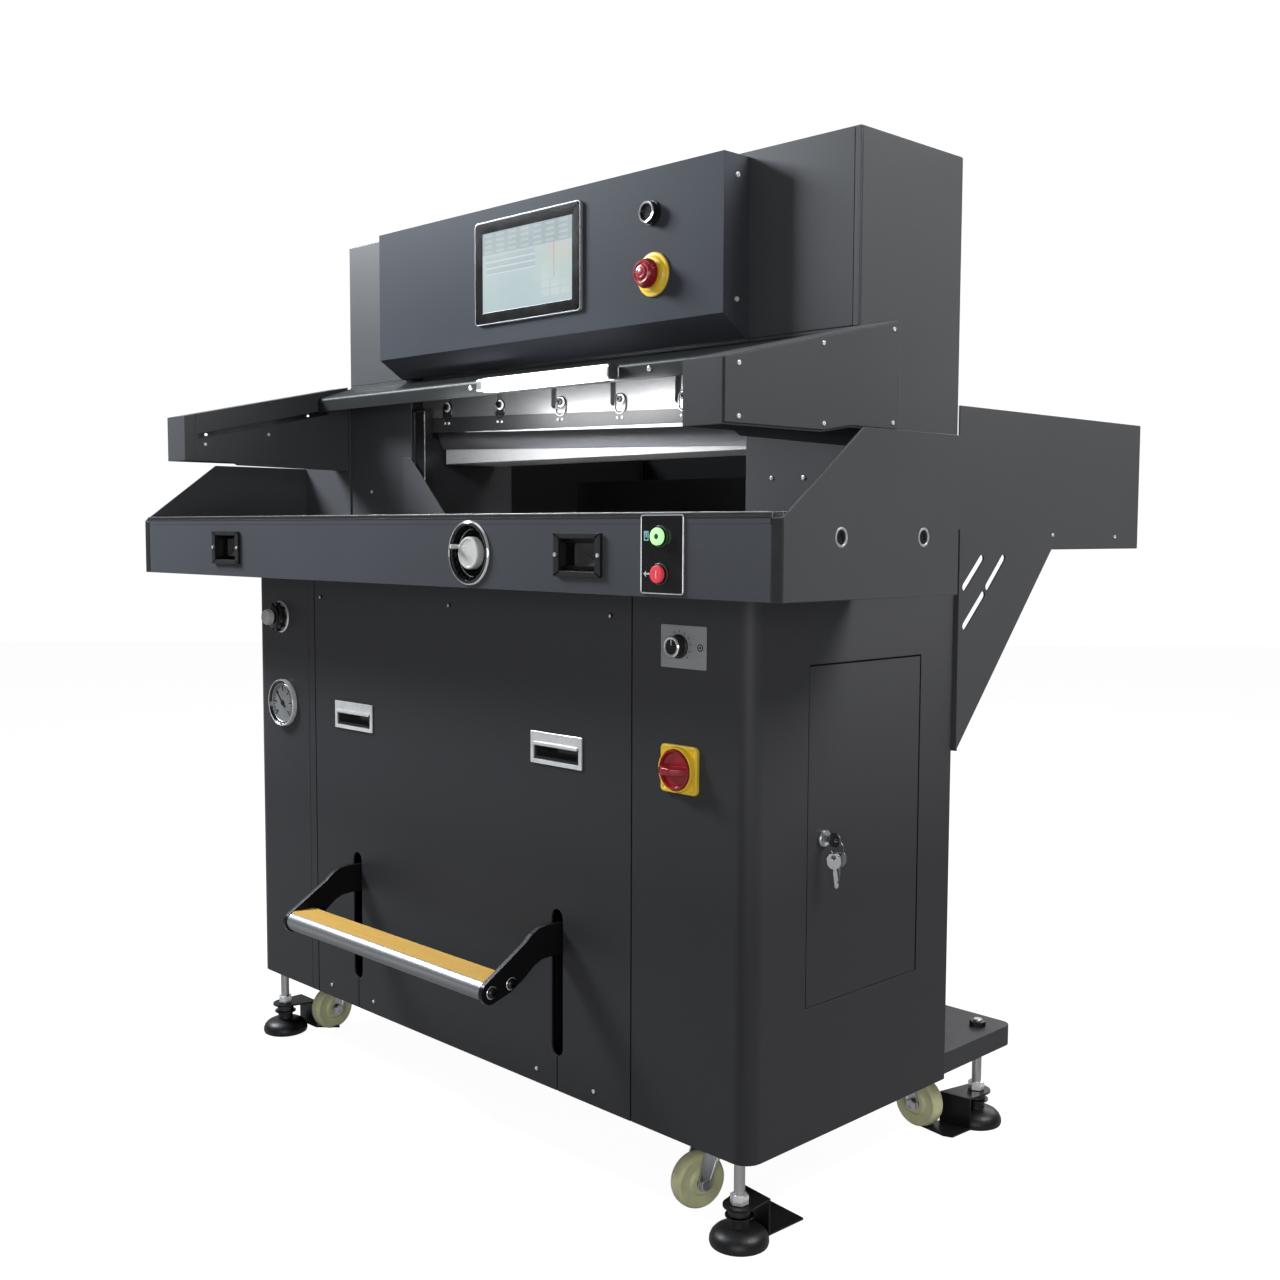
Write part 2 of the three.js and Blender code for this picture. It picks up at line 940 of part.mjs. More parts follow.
// Side guards: a slanted sheet at each end of the table, closed at the back by a wing panel.
const sideGuard = {
  top: tableTop + overTable.sideGuard,
  slantFoot: tableTop + overTable.slantFoot,
  slantTop: 8,
  armBack: headBottom - underHead.armPlate,
};
const armOffset = 4;
const armWidth = 59;
const arm = {
  inner: bodyHalfWidth + armOffset,
  outer: bodyHalfWidth + armOffset + armWidth,
  front: -125,
  back: 192.7,
  frontTop: headBottom - underHead.armFront,
  backTop: headBottom - underHead.armBack,
  bottom: sideGuard.top + seatGap,
  liftFrom: 45,
  liftTo: 98,
  lift: 8,
  skin: 3,
  belly: 14,
};

function sideGuardSolid(side) {
  const face = prismX(
    [
      [apronFront, apronBottom],
      [apronFront, sideGuard.slantFoot],
      [sideGuard.slantTop, sideGuard.top],
      [columnFront, sideGuard.top],
      [columnFront, apronBottom],
    ],
    side * wingInner,
    side * wingHalfWidth,
  );
  const lip = block(
    side * (wingHalfWidth - guardReturn),
    side * wingHalfWidth,
    apronFront,
    apronBack,
    apronBottom,
    sideGuard.slantFoot,
  );
  const wing = block(
    side * (bodyHalfWidth + seatGap),
    side * wingHalfWidth,
    columnFront - sheet,
    columnFront,
    apronBottom,
    sideGuard.top,
  );
  const armPlate = block(
    side * (bodyHalfWidth + seatGap),
    side * arm.outer,
    columnFront - sheet,
    columnFront,
    sideGuard.top - sheet,
    sideGuard.armBack,
  );
  return join(face, lip, wing, armPlate);
}

part("side_guard_left", sideGuardSolid(-1), charcoal);
part("side_guard_right", sideGuardSolid(1), charcoal);

// Light-curtain arms: wedge-topped housings with a recessed underside and a slit on the inner face.
const slitBelowTop = { front: 31, back: 47 };
const slit = {
  frontY: -96,
  frontZ: arm.frontTop - slitBelowTop.front,
  backY: 148,
  backZ: arm.backTop - slitBelowTop.back,
  radius: 3,
  depth: 4,
};

function curtainArm(side) {
  const outline = [
    [arm.front, arm.bottom],
    [arm.front, arm.frontTop],
    [arm.back, arm.backTop],
    [arm.back, arm.bottom + arm.lift],
    [arm.liftTo, arm.bottom + arm.lift],
    [arm.liftFrom, arm.bottom],
  ];
  const belly = block(
    side * (arm.inner + arm.skin),
    side * (arm.outer - arm.skin),
    arm.front + arm.skin,
    arm.back - arm.skin,
    arm.bottom - overrun,
    arm.bottom + arm.belly,
  );
  const window = prismX(
    slotOutline([slit.frontY, slit.frontZ], [slit.backY, slit.backZ], slit.radius),
    side * (arm.inner - overrun),
    side * (arm.inner + slit.depth),
  );
  return cut(prismX(outline, side * arm.inner, side * arm.outer), belly, window);
}

part("curtain_arm_left", curtainArm(-1), charcoal);
part("curtain_arm_right", curtainArm(1), charcoal);

// Canopy over the knife, a folded sheet between the arms, and the lamp on its lip.
const canopyLip = 26;
const canopy = {
  foldY: 130,
  foldZ: headBottom - underHead.canopyFold,
  lipBottom: headBottom - underHead.canopyFold - canopyLip,
  bend: 8,
  rearDrop: 4,
};
const canopyBendAngles = { rear: 110, front: 180 };
const lampLift = 2;
const lamp = { left: -89, right: 205, bottom: canopy.lipBottom + lampLift, height: 21, depth: 22 };

function topCanopy() {
  const rearY = columnFront - seatGap;
  const rearZ = headBottom - canopy.rearDrop;
  const outline = [
    [rearY, rearZ],
    ...arc(
      canopy.foldY + canopy.bend,
      canopy.foldZ - canopy.bend,
      canopy.bend,
      canopyBendAngles.rear,
      canopyBendAngles.front,
    ),
    [canopy.foldY, canopy.lipBottom],
    [canopy.foldY + sheet, canopy.lipBottom],
    ...arc(
      canopy.foldY + canopy.bend,
      canopy.foldZ - canopy.bend,
      canopy.bend - sheet,
      canopyBendAngles.front,
      canopyBendAngles.rear,
    ),
    [rearY, rearZ - sheet],
  ];
  return prismX(outline, -arm.inner + seatGap, arm.inner - seatGap);
}

function workLamp() {
  const back = canopy.foldY - seatGap;
  const radius = lamp.height / 2;
  const z = lamp.bottom + radius;
  const outline = slotOutline([lamp.left + radius, z], [lamp.right - radius, z], radius);
  return prismY(outline, back - lamp.depth, back);
}

part("top_canopy", topCanopy(), charcoal);
part("work_lamp", workLamp(), lampWhite);

// Portal: two side plates from the deck to the head, a lower tie and a crossbeam.
const plate = { thickness: 50, top: headTop - inHead.plateTop };
const crossbeam = { bottom: headBottom - underHead.crossbeam, depth: clampDepth };
const tie = { height: 80 };
const shaftToBack = 90;
const pedalShaft = { y: bodyDepth - shaftToBack, z: 325, radius: 12 };
const rodFromKnifeEnd = 122;
const rodProud = 10;
const clampRod = { x: knifeHalfWidth - rodFromKnifeEnd, radius: 15, top: plate.top + rodProud };

function mainFrame() {
  const inner = portalHalfWidth;
  const outer = inner + plate.thickness;
  const front = columnFront + sheet + seatGap;
  const back = bodyDepth - sheet - seatGap;
  const plates = [-1, 1].map((side) =>
    block(side * inner, side * outer, front, back, deckTop + seatGap, plate.top),
  );
  const beamTie = block(
    -outer,
    outer,
    clampFront,
    clampFront + crossbeam.depth,
    crossbeam.bottom,
    plate.top,
  );
  const tableTie = block(-outer, outer, clampFront, back, apronTop - tie.height, apronTop);
  const shaftBores = [-1, 1].map((side) =>
    rodX(
      pedalShaft.radius + seatGap,
      pedalShaft.y,
      pedalShaft.z,
      side * (inner - overrun),
      side * (outer + overrun),
    ),
  );
  const rodBores = [-1, 1].map((side) =>
    rodZ(
      clampRod.radius + seatGap,
      side * clampRod.x,
      clampFront + clampDepth / 2,
      crossbeam.bottom - overrun,
      plate.top + overrun,
    ),
  );
  return cut(join(...plates, beamTie, tableTie), ...shaftBores, ...rodBores);
}

part("main_frame", mainFrame(), castIron);

// Clamp: a beam behind the knife, hung on two rods that run in the crossbeam.
const clamp = { bottom: tableTop + overTable.clamp, height: 66 };
const clampTop = clamp.bottom + clamp.height;

function clampBeam() {
  const rods = [-1, 1].map((side) =>
    rodZ(
      clampRod.radius,
      side * clampRod.x,
      clampFront + clampDepth / 2,
      clampTop - clampRod.radius,
      clampRod.top,
    ),
  );
  return join(
    block(
      -knifeHalfWidth,
      knifeHalfWidth,
      clampFront,
      clampFront + clampDepth,
      clamp.bottom,
      clampTop,
    ),
    ...rods,
  );
}

part("clamp_beam", clampBeam(), brushedSteel);

// Knife: the bar and blade hang level from a pin on the hanger, and rest tilted, left end high.
const pivotZ = headBottom + inHead.pivot;
const knife = {
  edge: 156,
  bladeHeight: 120,
  barBottom: 128,
  barTop: 15,
  barFront: 215,
  slotBottom: 92,
  slotTop: 52,
  slotRadius: 6,
  slotDepth: 10,
  bevel: 22,
  leftBoltInset: 74,
  rightBoltInset: 134,
  boltCount: 5,
};
const knifeTilt = 1.64;
const pinRadius = 15;
const boltSpan = 2 * knifeHalfWidth - knife.leftBoltInset - knife.rightBoltInset;
const knifeBolts = Array.from(
  { length: knife.boltCount },
  (_, i) => knife.leftBoltInset - knifeHalfWidth + (i * boltSpan) / (knife.boltCount - 1),
);
const bladeFront = cutPlane - bladeThickness;
const barBack = bladeFront - seatGap;
const hanger = { halfWidth: 40, tongueBack: 259, tongueDrop: 26, blockLow: 25, blockHigh: 70 };
const slideTilt = -3.164;
const cylinder = {
  radius: 29,
  footThickness: 12,
  footHalfWidth: 60,
  top: headTop - inHead.cylinderTop,
};
const pistonRod = { radius: 12.5, reveal: 2 };

// A round bar on the slanted line that the hanger slides along, through its pin.
function slideBar(radius, low, high, sides = smallSides) {
  const y = (knife.barFront + barBack) / 2;
  const bar = rodZ(radius, 0, y, low - pivotZ, high - pivotZ, sides);
  return bar.rotate([0, slideTilt, 0]).translate([0, 0, pivotZ]);
}

const knifeGroup = groupAt(0, 0, pivotZ);
knifeGroup.rotation.y = THREE.MathUtils.degToRad(knifeTilt);

function knifeBar() {
  const bar = block(
    -knifeHalfWidth,
    knifeHalfWidth,
    knife.barFront,
    barBack,
    -knife.barBottom,
    knife.barTop,
  );
  const slots = knifeBolts.map((x) =>
    prismY(
      slotOutline([x, -knife.slotBottom], [x, -knife.slotTop], knife.slotRadius),
      knife.barFront - overrun,
      knife.barFront + knife.slotDepth,
    ),
  );
  const bore = rodY(
    pinRadius + seatGap,
    0,
    0,
    knife.barFront - overrun,
    barBack + overrun,
    roundSides,
  );
  return cut(bar, ...slots, bore);
}

// The blade's flat back is the cutting plane and its front slopes down to the edge.
function knifeBlade() {
  const top = -knife.edge + knife.bladeHeight;
  const outline = [
    [cutPlane, -knife.edge],
    [cutPlane, top],
    [bladeFront, top],
    [bladeFront, -knife.edge + knife.bevel],
    [cutPlane - seatGap, -knife.edge],
  ];
  return prismX(outline, -knifeHalfWidth, knifeHalfWidth);
}

part("knife_bar", knifeBar(), brushedSteel, knifeGroup);
part("knife_blade", knifeBlade(), chrome, knifeGroup);

function knifeHanger() {
  const tongueFront = barBack + seatGap;
  const tongue = block(
    -hanger.halfWidth,
    hanger.halfWidth,
    tongueFront,
    hanger.tongueBack,
    pivotZ - hanger.tongueDrop,
    pivotZ + hanger.blockHigh,
  );
  const head = block(
    -hanger.halfWidth,
    hanger.halfWidth,
    knife.barFront,
    hanger.tongueBack,
    pivotZ + hanger.blockLow,
    pivotZ + hanger.blockHigh,
  );
  const pin = rodY(pinRadius, 0, pivotZ, knife.barFront, hanger.tongueBack, roundSides);
  const rod = slideBar(
    pistonRod.radius,
    pivotZ + hanger.blockHigh - pistonRod.radius,
    cylinder.top - pistonRod.reveal,
  );
  return join(tongue, head, pin, rod);
}

// Cylinder: a slanted, bored barrel on a foot plate that is bolted to the crossbeam.
function knifeCylinder() {
  const axisY = (knife.barFront + barBack) / 2;
  const low = plate.top + seatGap;
  const foot = block(
    -cylinder.footHalfWidth,
    cylinder.footHalfWidth,
    axisY - cylinder.radius,
    clampFront + clampDepth,
    low,
    low + cylinder.footThickness,
  );
  const barrel = slideBar(cylinder.radius, low - overrun, cylinder.top, roundSides);
  const below = block(
    -cylinder.footHalfWidth,
    cylinder.footHalfWidth,
    axisY - cylinder.radius,
    axisY + cylinder.radius,
    low - overrun * 2,
    low,
  );
  const bore = slideBar(pistonRod.radius + seatGap, low - overrun, cylinder.top + overrun);
  return cut(join(foot, cut(barrel, below)), bore);
}

part("knife_hanger", knifeHanger(), castIron);
part("knife_cylinder", knifeCylinder(), darkPaint);

// Head cover, open below, and the control box on its front.
const box = {
  left: inset.boxLeft - bodyHalfWidth,
  right: bodyHalfWidth - inset.boxRight,
  front: 145,
  bottom: headBottom + inHead.boxBottom,
  top: headTop - inHead.boxTop,
  chamferBack: 189,
};
const inBox = { estop: 64, screenLow: 31, screenHigh: 21, knob: 61 };
const fromBoxRight = { estop: 128, knob: 132 };
const estop = {
  x: box.right - fromBoxRight.estop,
  z: box.bottom + inBox.estop,
  collarRadius: 30,
  collar: 6,
  capRadius: 20,
  stemRadius: 8,
};
const headKnob = {
  x: box.right - fromBoxRight.knob,
  z: box.top - inBox.knob,
  radius: 15,
  stemRadius: 8,
};
const screen = {
  left: -132,
  right: 111,
  bottom: box.bottom + inBox.screenLow,
  top: box.top - inBox.screenHigh,
  proud: 5,
  frame: 18,
  sink: 2,
};
const screenFrameLow = 20;

function headCover() {
  return cut(
    block(-bodyHalfWidth, bodyHalfWidth, columnFront, bodyDepth, headBottom, headTop),
    block(
      -bodyInner,
      bodyInner,
      columnFront + sheet,
      bodyDepth - sheet,
      headBottom - overrun,
      headTop - sheet,
    ),
  );
}

function controlBox() {
  const back = columnFront - seatGap;
  const solid = prismX(
    [
      [back, headBottom + seatGap],
      [box.chamferBack, headBottom + seatGap],
      [box.front, box.bottom],
      [box.front, box.top],
      [back, box.top],
    ],
    box.left,
    box.right,
  );
  const bores = [
    [estop.x, estop.z, estop.stemRadius],
    [headKnob.x, headKnob.z, headKnob.stemRadius],
  ].map(([x, z, radius]) =>
    rodY(radius + seatGap, x, z, box.front - overrun, box.front + press.stem + overrun),
  );
  return cut(solid, ...bores);
}

function touchscreen() {
  const back = box.front - seatGap;
  const front = back - screen.proud;
  return cut(
    block(screen.left, screen.right, front, back, screen.bottom, screen.top),
    block(
      screen.left + screen.frame,
      screen.right - screen.frame,
      front - overrun,
      front + screen.sink,
      screen.bottom + screenFrameLow,
      screen.top - screen.frame,
    ),
  );
}

function estopCollar() {
  const ring = turnedToFront([
    [0, seatGap],
    [estop.collarRadius, seatGap],
    [estop.collarRadius, estop.collar / 2],
    [estop.collarRadius - estop.collar / 2, estop.collar],
    [0, estop.collar],
  ]);
  return cut(ring, rodY(estop.stemRadius + seatGap, 0, 0, -overrun, overrun));
}

// A mushroom cap on a stem through the collar.
const mushroom = {
  lift: 12,
  rim: 17,
  shoulderRadius: 17,
  shoulder: 24,
  crownRadius: 10,
  top: 27,
};

function estopButton() {
  return turnedToFront([
    [0, -press.stem],
    [estop.stemRadius, -press.stem],
    [estop.stemRadius, mushroom.lift],
    [estop.capRadius, mushroom.lift],
    [estop.capRadius, mushroom.rim],
    [mushroom.shoulderRadius, mushroom.shoulder],
    [mushroom.crownRadius, mushroom.top],
    [0, mushroom.top],
  ]);
}

part("head_cover", headCover(), charcoal);
part("control_box", controlBox(), charcoal);
part("touchscreen", touchscreen(), screenBlue);
part("estop_collar", estopCollar(), yellow, groupAt(estop.x, box.front, estop.z));
part("estop_button", estopButton(), red, groupAt(estop.x, box.front, estop.z));
part(
  "head_button",
  pushButton(headKnob.radius, headKnob.stemRadius, press.proud, press.lift, press.stem),
  blackPlastic,
  groupAt(headKnob.x, box.front, headKnob.z),
);

// Front controls on the covers.
const isolatorKnob = { radius: 25, height: 9, barHalfHeight: 5, barProud: 24, barReach: 24 };
const knobGrip = { height: 16, edge: 2 };

function isolatorPlate() {
  const plateSolid = block(
    -isolator.width / 2,
    isolator.width / 2,
    -isolator.thickness - seatGap,
    -seatGap,
    -isolator.height / 2,
    isolator.height / 2,
  );
  const bore = rodY(isolator.stemRadius + seatGap, 0, 0, -overrun - isolator.thickness, overrun);
  return cut(plateSolid, bore);
}

function isolatorKnobSolid() {
  const base = isolator.thickness + seatGap * 2;
  const disc = turnedToFront([
    [0, -press.stem],
    [isolator.stemRadius, -press.stem],
    [isolator.stemRadius, base],
    [isolatorKnob.radius, base],
    [isolatorKnob.radius, base + isolatorKnob.height],
    [0, base + isolatorKnob.height],
  ]);
  const grip = block(
    -isolatorKnob.barReach,
    isolatorKnob.barReach,
    -base - isolatorKnob.barProud,
    -base - isolatorKnob.height / 2,
    -isolatorKnob.barHalfHeight,
    isolatorKnob.barHalfHeight,
  );
  return join(disc, grip);
}

// A round knob with a raised grip across it.
function gripKnob(radius, stemRadius, height) {
  const disc = turnedToFront(
    [
      [0, -press.stem],
      [stemRadius, -press.stem],
      [stemRadius, seatGap],
      [radius, seatGap],
      [radius, height - knobGrip.edge],
      [radius - knobGrip.edge, height],
      [0, height],
    ],
    smallSides,
  );
  const grip = block(
    -radius / 4,
    radius / 4,
    -height - radius / 4,
    -height / 2,
    -radius + knobGrip.edge,
    radius - knobGrip.edge,
  );
  return join(disc, grip);
}

function pressureGauge() {
  return turnedToFront([
    [0, -gauge.bodyDepth],
    [gauge.bodyRadius, -gauge.bodyDepth],
    [gauge.bodyRadius, seatGap],
    [gauge.radius, seatGap],
    [gauge.radius, gauge.rimHeight / 2],
    [gauge.radius - gauge.rimHeight / 2, gauge.rimHeight],
    [gauge.bodyRadius, gauge.rimHeight],
    [gauge.bodyRadius, gauge.rimHeight / 2],
    [0, gauge.rimHeight / 2],
  ]);
}

const isolatorGroup = groupAt(isolator.x, 0, isolator.z);
part("isolator_plate", isolatorPlate(), yellow, isolatorGroup);
part("isolator_knob", isolatorKnobSolid(), red, isolatorGroup);
part(
  "dial_knob",
  gripKnob(dial.radius, dial.stemRadius, knobGrip.height),
  blackPlastic,
  groupAt(dial.x, 0, dial.z),
);
part(
  "regulator_knob",
  gripKnob(regulator.radius, regulator.stemRadius, regulator.radius + knobGrip.height),
  blackPlastic,
  groupAt(regulator.x, 0, regulator.z),
);
part("pressure_gauge", pressureGauge(), chrome, groupAt(gauge.x, 0, gauge.z));

// Door of the electrical compartment, in the right cover, with a key lock.
const lock = { radius: 11, proud: 5, bodyRadius: 9, depth: 22, keyLength: 22, keyHalfHeight: 9 };
const keyThickness = 2.5;

function sideDoor() {
  const leaf = block(
    bodyInner,
    bodyHalfWidth,
    door.front + seamGap,
    door.back - seamGap,
    door.bottom + seamGap,
    door.top - seamGap,
  );
  const bore = rodX(
    lock.bodyRadius + seatGap,
    door.lockY,
    door.lockZ,
    bodyInner - overrun,
    bodyHalfWidth + overrun,
  );
  return cut(leaf, bore);
}

function doorLock() {
  return join(
    rodX(lock.bodyRadius, 0, 0, -lock.depth, lock.proud),
    rodX(lock.radius, 0, 0, seatGap, lock.proud),
    block(
      lock.proud / 2,
      lock.proud + lock.keyLength,
      -keyThickness / 2,
      keyThickness / 2,
      -lock.keyHalfHeight,
      lock.keyHalfHeight,
    ),
  );
}

part("side_door", sideDoor(), charcoal);
part("door_lock", doorLock(), chrome, groupAt(bodyHalfWidth, door.lockY, door.lockZ));

// Hydraulic unit on the deck: a tank with a pump motor on its lid.
const tankClearance = { left: 73, right: 70, shaft: 60 };
const tank = {
  left: pedal.left + tankClearance.left,
  right: pedal.right - tankClearance.right,
  front: 60,
  back: pedalShaft.y - tankClearance.shaft,
  height: 190,
};
const motor = { radius: 60, length: 170 };

function hydraulicUnit() {
  const low = deckTop + seatGap;
  const lid = low + tank.height;
  const y = (tank.front + tank.back) / 2;
  return join(
    block(tank.left, tank.right, tank.front, tank.back, low, lid),
    rodZ(motor.radius, tank.left / 2, y, lid - overrun, lid + motor.length, roundSides),
    rodZ(motor.radius / 2, tank.right / 2, y, lid - overrun, lid + motor.length / 2),
  );
}

part("hydraulic_unit", hydraulicUnit(), darkPaint);

// Pedal: two bent arms on a shaft between the portal's plates, and a tread bar at their tips.
const tread = { pipeY: -118, pipeZ: 277, radius: 14, boltY: -85, boltZ: 281, boltRadius: 8 };
const treadPlate = { front: -122, back: -72, bottom: 289, thickness: 5, rise: 9 };
const pedalArm = {
  eyeReach: 26,
  eyeHalf: 24,
  exitHigh: 346,
  exitLow: 303,
  kneeY: -33,
  kneeZ: 348,
  noseY: -128,
  noseZ: 290,
  tipY: -133,
  tipZ: 272,
  chinY: -124,
  chinZ: 260,
  heelY: -96,
  heelZ: 262,
  crookY: -30,
  crookZ: 304,
};
const armOutline = [
  [pedalShaft.y + pedalArm.eyeReach, pedalShaft.z - pedalArm.eyeHalf],
  [pedalShaft.y + pedalArm.eyeReach, pedalShaft.z + pedalArm.eyeHalf],
  [0, pedalArm.exitHigh],
  [pedalArm.kneeY, pedalArm.kneeZ],
  [pedalArm.noseY, pedalArm.noseZ],
  [pedalArm.tipY, pedalArm.tipZ],
  [pedalArm.chinY, pedalArm.chinZ],
  [pedalArm.heelY, pedalArm.heelZ],
  [pedalArm.crookY, pedalArm.crookZ],
  [0, pedalArm.exitLow],
];

function pedalFrame() {
  const arms = [pedal.left, pedal.right].map((x) =>
    prismX(armOutline, x - pedal.armHalfThickness, x + pedal.armHalfThickness),
  );
  const shaftEnd = portalHalfWidth + plate.thickness - seatGap;
  const shaft = rodX(pedalShaft.radius, pedalShaft.y, pedalShaft.z, -shaftEnd, shaftEnd);
  return join(shaft, ...arms);
}

function pedalBar() {
  const left = pedal.left + pedal.armHalfThickness + seatGap;
  const right = pedal.right - pedal.armHalfThickness - seatGap;
  return join(
    rodX(tread.radius, tread.pipeY, tread.pipeZ, left, right),
    prismX(
      [
        [treadPlate.front, treadPlate.bottom - treadPlate.thickness],
        [treadPlate.front, treadPlate.bottom],
        [treadPlate.back, treadPlate.bottom + treadPlate.rise],
        [treadPlate.back, treadPlate.bottom + treadPlate.rise - treadPlate.thickness],
      ],
      left,
      right,
    ),
    rodX(tread.boltRadius, tread.boltY, tread.boltZ + tread.boltRadius, left, right),
  );
}

part("pedal_frame", pedalFrame(), darkPaint);
part("pedal_bar", pedalBar(), brushedSteel);

// Casters: a forked swivel under the base frame and a nylon wheel on its axle.
const caster = {
  wheelRadius: 37,
  wheelWidth: 28,
  sideGap: 1.5,
  trail: 30,
  plateHalf: 34,
  plate: 3,
  forkSheet: 3,
  race: 12,
  raceRadius: 18,
  crown: 4,
  crownFront: 22,
  crownBack: 18,
  eyeHalf: 9.6,
  axleRadius: 6,
};
const rearCasterY = bodyDepth + behind.caster;
const casterPlaces = {
  front_left: { x: inset.frontLeftCaster - bodyHalfWidth, y: 123, heading: 0 },
  front_right: { x: bodyHalfWidth - inset.frontRightCaster, y: 88, heading: -15 },
  rear_left: { x: inset.rearCaster - bodyHalfWidth, y: rearCasterY, heading: -90 },
  rear_right: { x: bodyHalfWidth - inset.rearCaster, y: rearCasterY, heading: 90 },
};
const forkTop = beam.bottom - seatGap;
const wheelLift = 0.5;

function casterFork() {
  const axleZ = caster.wheelRadius + wheelLift;
  const crownTop = forkTop - caster.plate - caster.race;
  const sideInner = caster.wheelWidth / 2 + caster.sideGap;
  const sideOuter = sideInner + caster.forkSheet;
  const cheek = [
    [-caster.trail - caster.eyeHalf, axleZ - caster.eyeHalf],
    [-caster.trail + caster.eyeHalf, axleZ - caster.eyeHalf],
    [caster.crownBack, crownTop],
    [-caster.crownFront, crownTop],
  ];
  const cheeks = [-1, 1].map((side) => prismX(cheek, side * sideInner, side * sideOuter));
  const crown = block(
    -sideOuter,
    sideOuter,
    -caster.crownFront,
    caster.crownBack,
    crownTop - caster.crown,
    crownTop,
  );
  const plateSolid = block(
    -caster.plateHalf,
    caster.plateHalf,
    -caster.plateHalf,
    caster.plateHalf,
    forkTop - caster.plate,
    forkTop,
  );
  const race = rodZ(
    caster.raceRadius,
    0,
    0,
    crownTop - caster.crown / 2,
    forkTop - caster.plate / 2,
  );
  const axleEnd = sideOuter + caster.forkSheet;
  const axle = rodX(caster.axleRadius, -caster.trail, axleZ, -axleEnd, axleEnd);
  return join(crown, plateSolid, race, axle, ...cheeks);
}

function casterWheel() {
  const half = caster.wheelWidth / 2;
  const edge = half / 3;
  const bore = caster.axleRadius + seatGap;
  const hub = caster.wheelRadius / 2;
  const profile = [
    [bore, -half],
    [hub, -half],
    [hub + edge, -half + edge / 2],
    [caster.wheelRadius - edge * 2, -half + edge / 2],
    [caster.wheelRadius - edge / 2, -half + edge],
    [caster.wheelRadius, -edge],
    [caster.wheelRadius, edge],
    [caster.wheelRadius - edge / 2, half - edge],
    [caster.wheelRadius - edge * 2, half - edge / 2],
    [hub + edge, half - edge / 2],
    [hub, half],
    [bore, half],
    [bore, -half],
  ];
  return solidOf(turned(profile).rotateZ(Math.PI / 2));
}

for (const [place, { x, y, heading }] of Object.entries(casterPlaces)) {
  const swivel = groupAt(x, y, 0);
  swivel.rotation.z = THREE.MathUtils.degToRad(heading);
  part("caster_fork_" + place, casterFork(), brushedSteel, swivel);
  const axle = groupAt(0, -caster.trail, caster.wheelRadius + wheelLift, swivel);
  part("caster_wheel_" + place, casterWheel(), nylon, axle);
}

// Levelling feet: a rubber pad, a hex nut and a threaded rod up through the beam.
const nut = { radius: 14, height: 11, sides: 6 };
const rodTop = beamTop + nut.height;

function levellingFoot() {
  const pad = turnedUp([
    [0, 0],
    [foot.padRadius, 0],
    [foot.padRadius, foot.padRim],
    [foot.shoulderRadius, foot.shoulder],
    [nut.radius + foot.rodRadius, foot.padHeight],
    [0, foot.padHeight],
  ]);
  const hex = rodZ(
    nut.radius,
    0,
    0,
    foot.padHeight - nut.height / 2,
    foot.padHeight + nut.height,
    nut.sides,
  );
  return join(pad, hex, rodZ(foot.rodRadius, 0, 0, foot.padHeight, rodTop));
}

for (const [place, [x, y]] of Object.entries(feetPlaces)) {
  part("foot_" + place, levellingFoot(), rubber, groupAt(x, y, 0));
}

// The part's origin is the centre of its box on the floor.
const extent = new THREE.Box3().setFromObject(machine);
const centre = extent.getCenter(new THREE.Vector3());
machine.position.set(-centre.x, -centre.y, -extent.min.z);

const whole = new THREE.Group();
whole.add(machine);

export default whole;
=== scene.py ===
# A programmable paper cutter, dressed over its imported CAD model.
# Sizes are in millimetres in the cabinet's own frame: x from the middle to the operator's right,
# y back from the cabinet's front face, z up from the floor. at() turns them into the row frame.
import bmesh
import bpy
import json
import math
from mathutils import Matrix, Vector

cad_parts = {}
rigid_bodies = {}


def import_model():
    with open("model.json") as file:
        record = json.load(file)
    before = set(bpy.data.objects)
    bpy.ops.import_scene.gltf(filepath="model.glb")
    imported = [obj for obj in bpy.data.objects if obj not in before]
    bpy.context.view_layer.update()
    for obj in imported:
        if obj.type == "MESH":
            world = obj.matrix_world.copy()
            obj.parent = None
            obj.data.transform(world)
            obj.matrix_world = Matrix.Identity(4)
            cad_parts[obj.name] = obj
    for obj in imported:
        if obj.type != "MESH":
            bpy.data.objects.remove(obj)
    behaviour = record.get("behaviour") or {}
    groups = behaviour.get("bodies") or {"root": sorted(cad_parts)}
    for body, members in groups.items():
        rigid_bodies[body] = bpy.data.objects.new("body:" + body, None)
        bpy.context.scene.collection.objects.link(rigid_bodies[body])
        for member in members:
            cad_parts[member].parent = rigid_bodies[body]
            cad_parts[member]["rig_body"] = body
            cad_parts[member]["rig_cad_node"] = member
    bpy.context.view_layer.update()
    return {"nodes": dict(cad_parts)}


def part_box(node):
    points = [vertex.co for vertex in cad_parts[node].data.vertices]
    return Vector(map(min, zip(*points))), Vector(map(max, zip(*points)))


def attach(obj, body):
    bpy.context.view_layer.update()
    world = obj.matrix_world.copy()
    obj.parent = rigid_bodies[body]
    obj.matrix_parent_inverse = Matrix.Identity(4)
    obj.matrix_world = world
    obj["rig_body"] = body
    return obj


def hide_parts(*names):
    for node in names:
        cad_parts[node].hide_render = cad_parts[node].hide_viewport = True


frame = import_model()
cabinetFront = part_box("front_panel")[0].y
millimetre = 0.001
forward, upward, downward, rightward = (0, -1, 0), (0, 0, 1), (0, 0, -1), (1, 0, 0)
roundAngle = 35
print("frame loaded:", len(frame["nodes"]), "nodes")


def at(x, y, z):
    return Vector((x * millimetre, y * millimetre + cabinetFront, z * millimetre))


home = at(0, 0, 0)


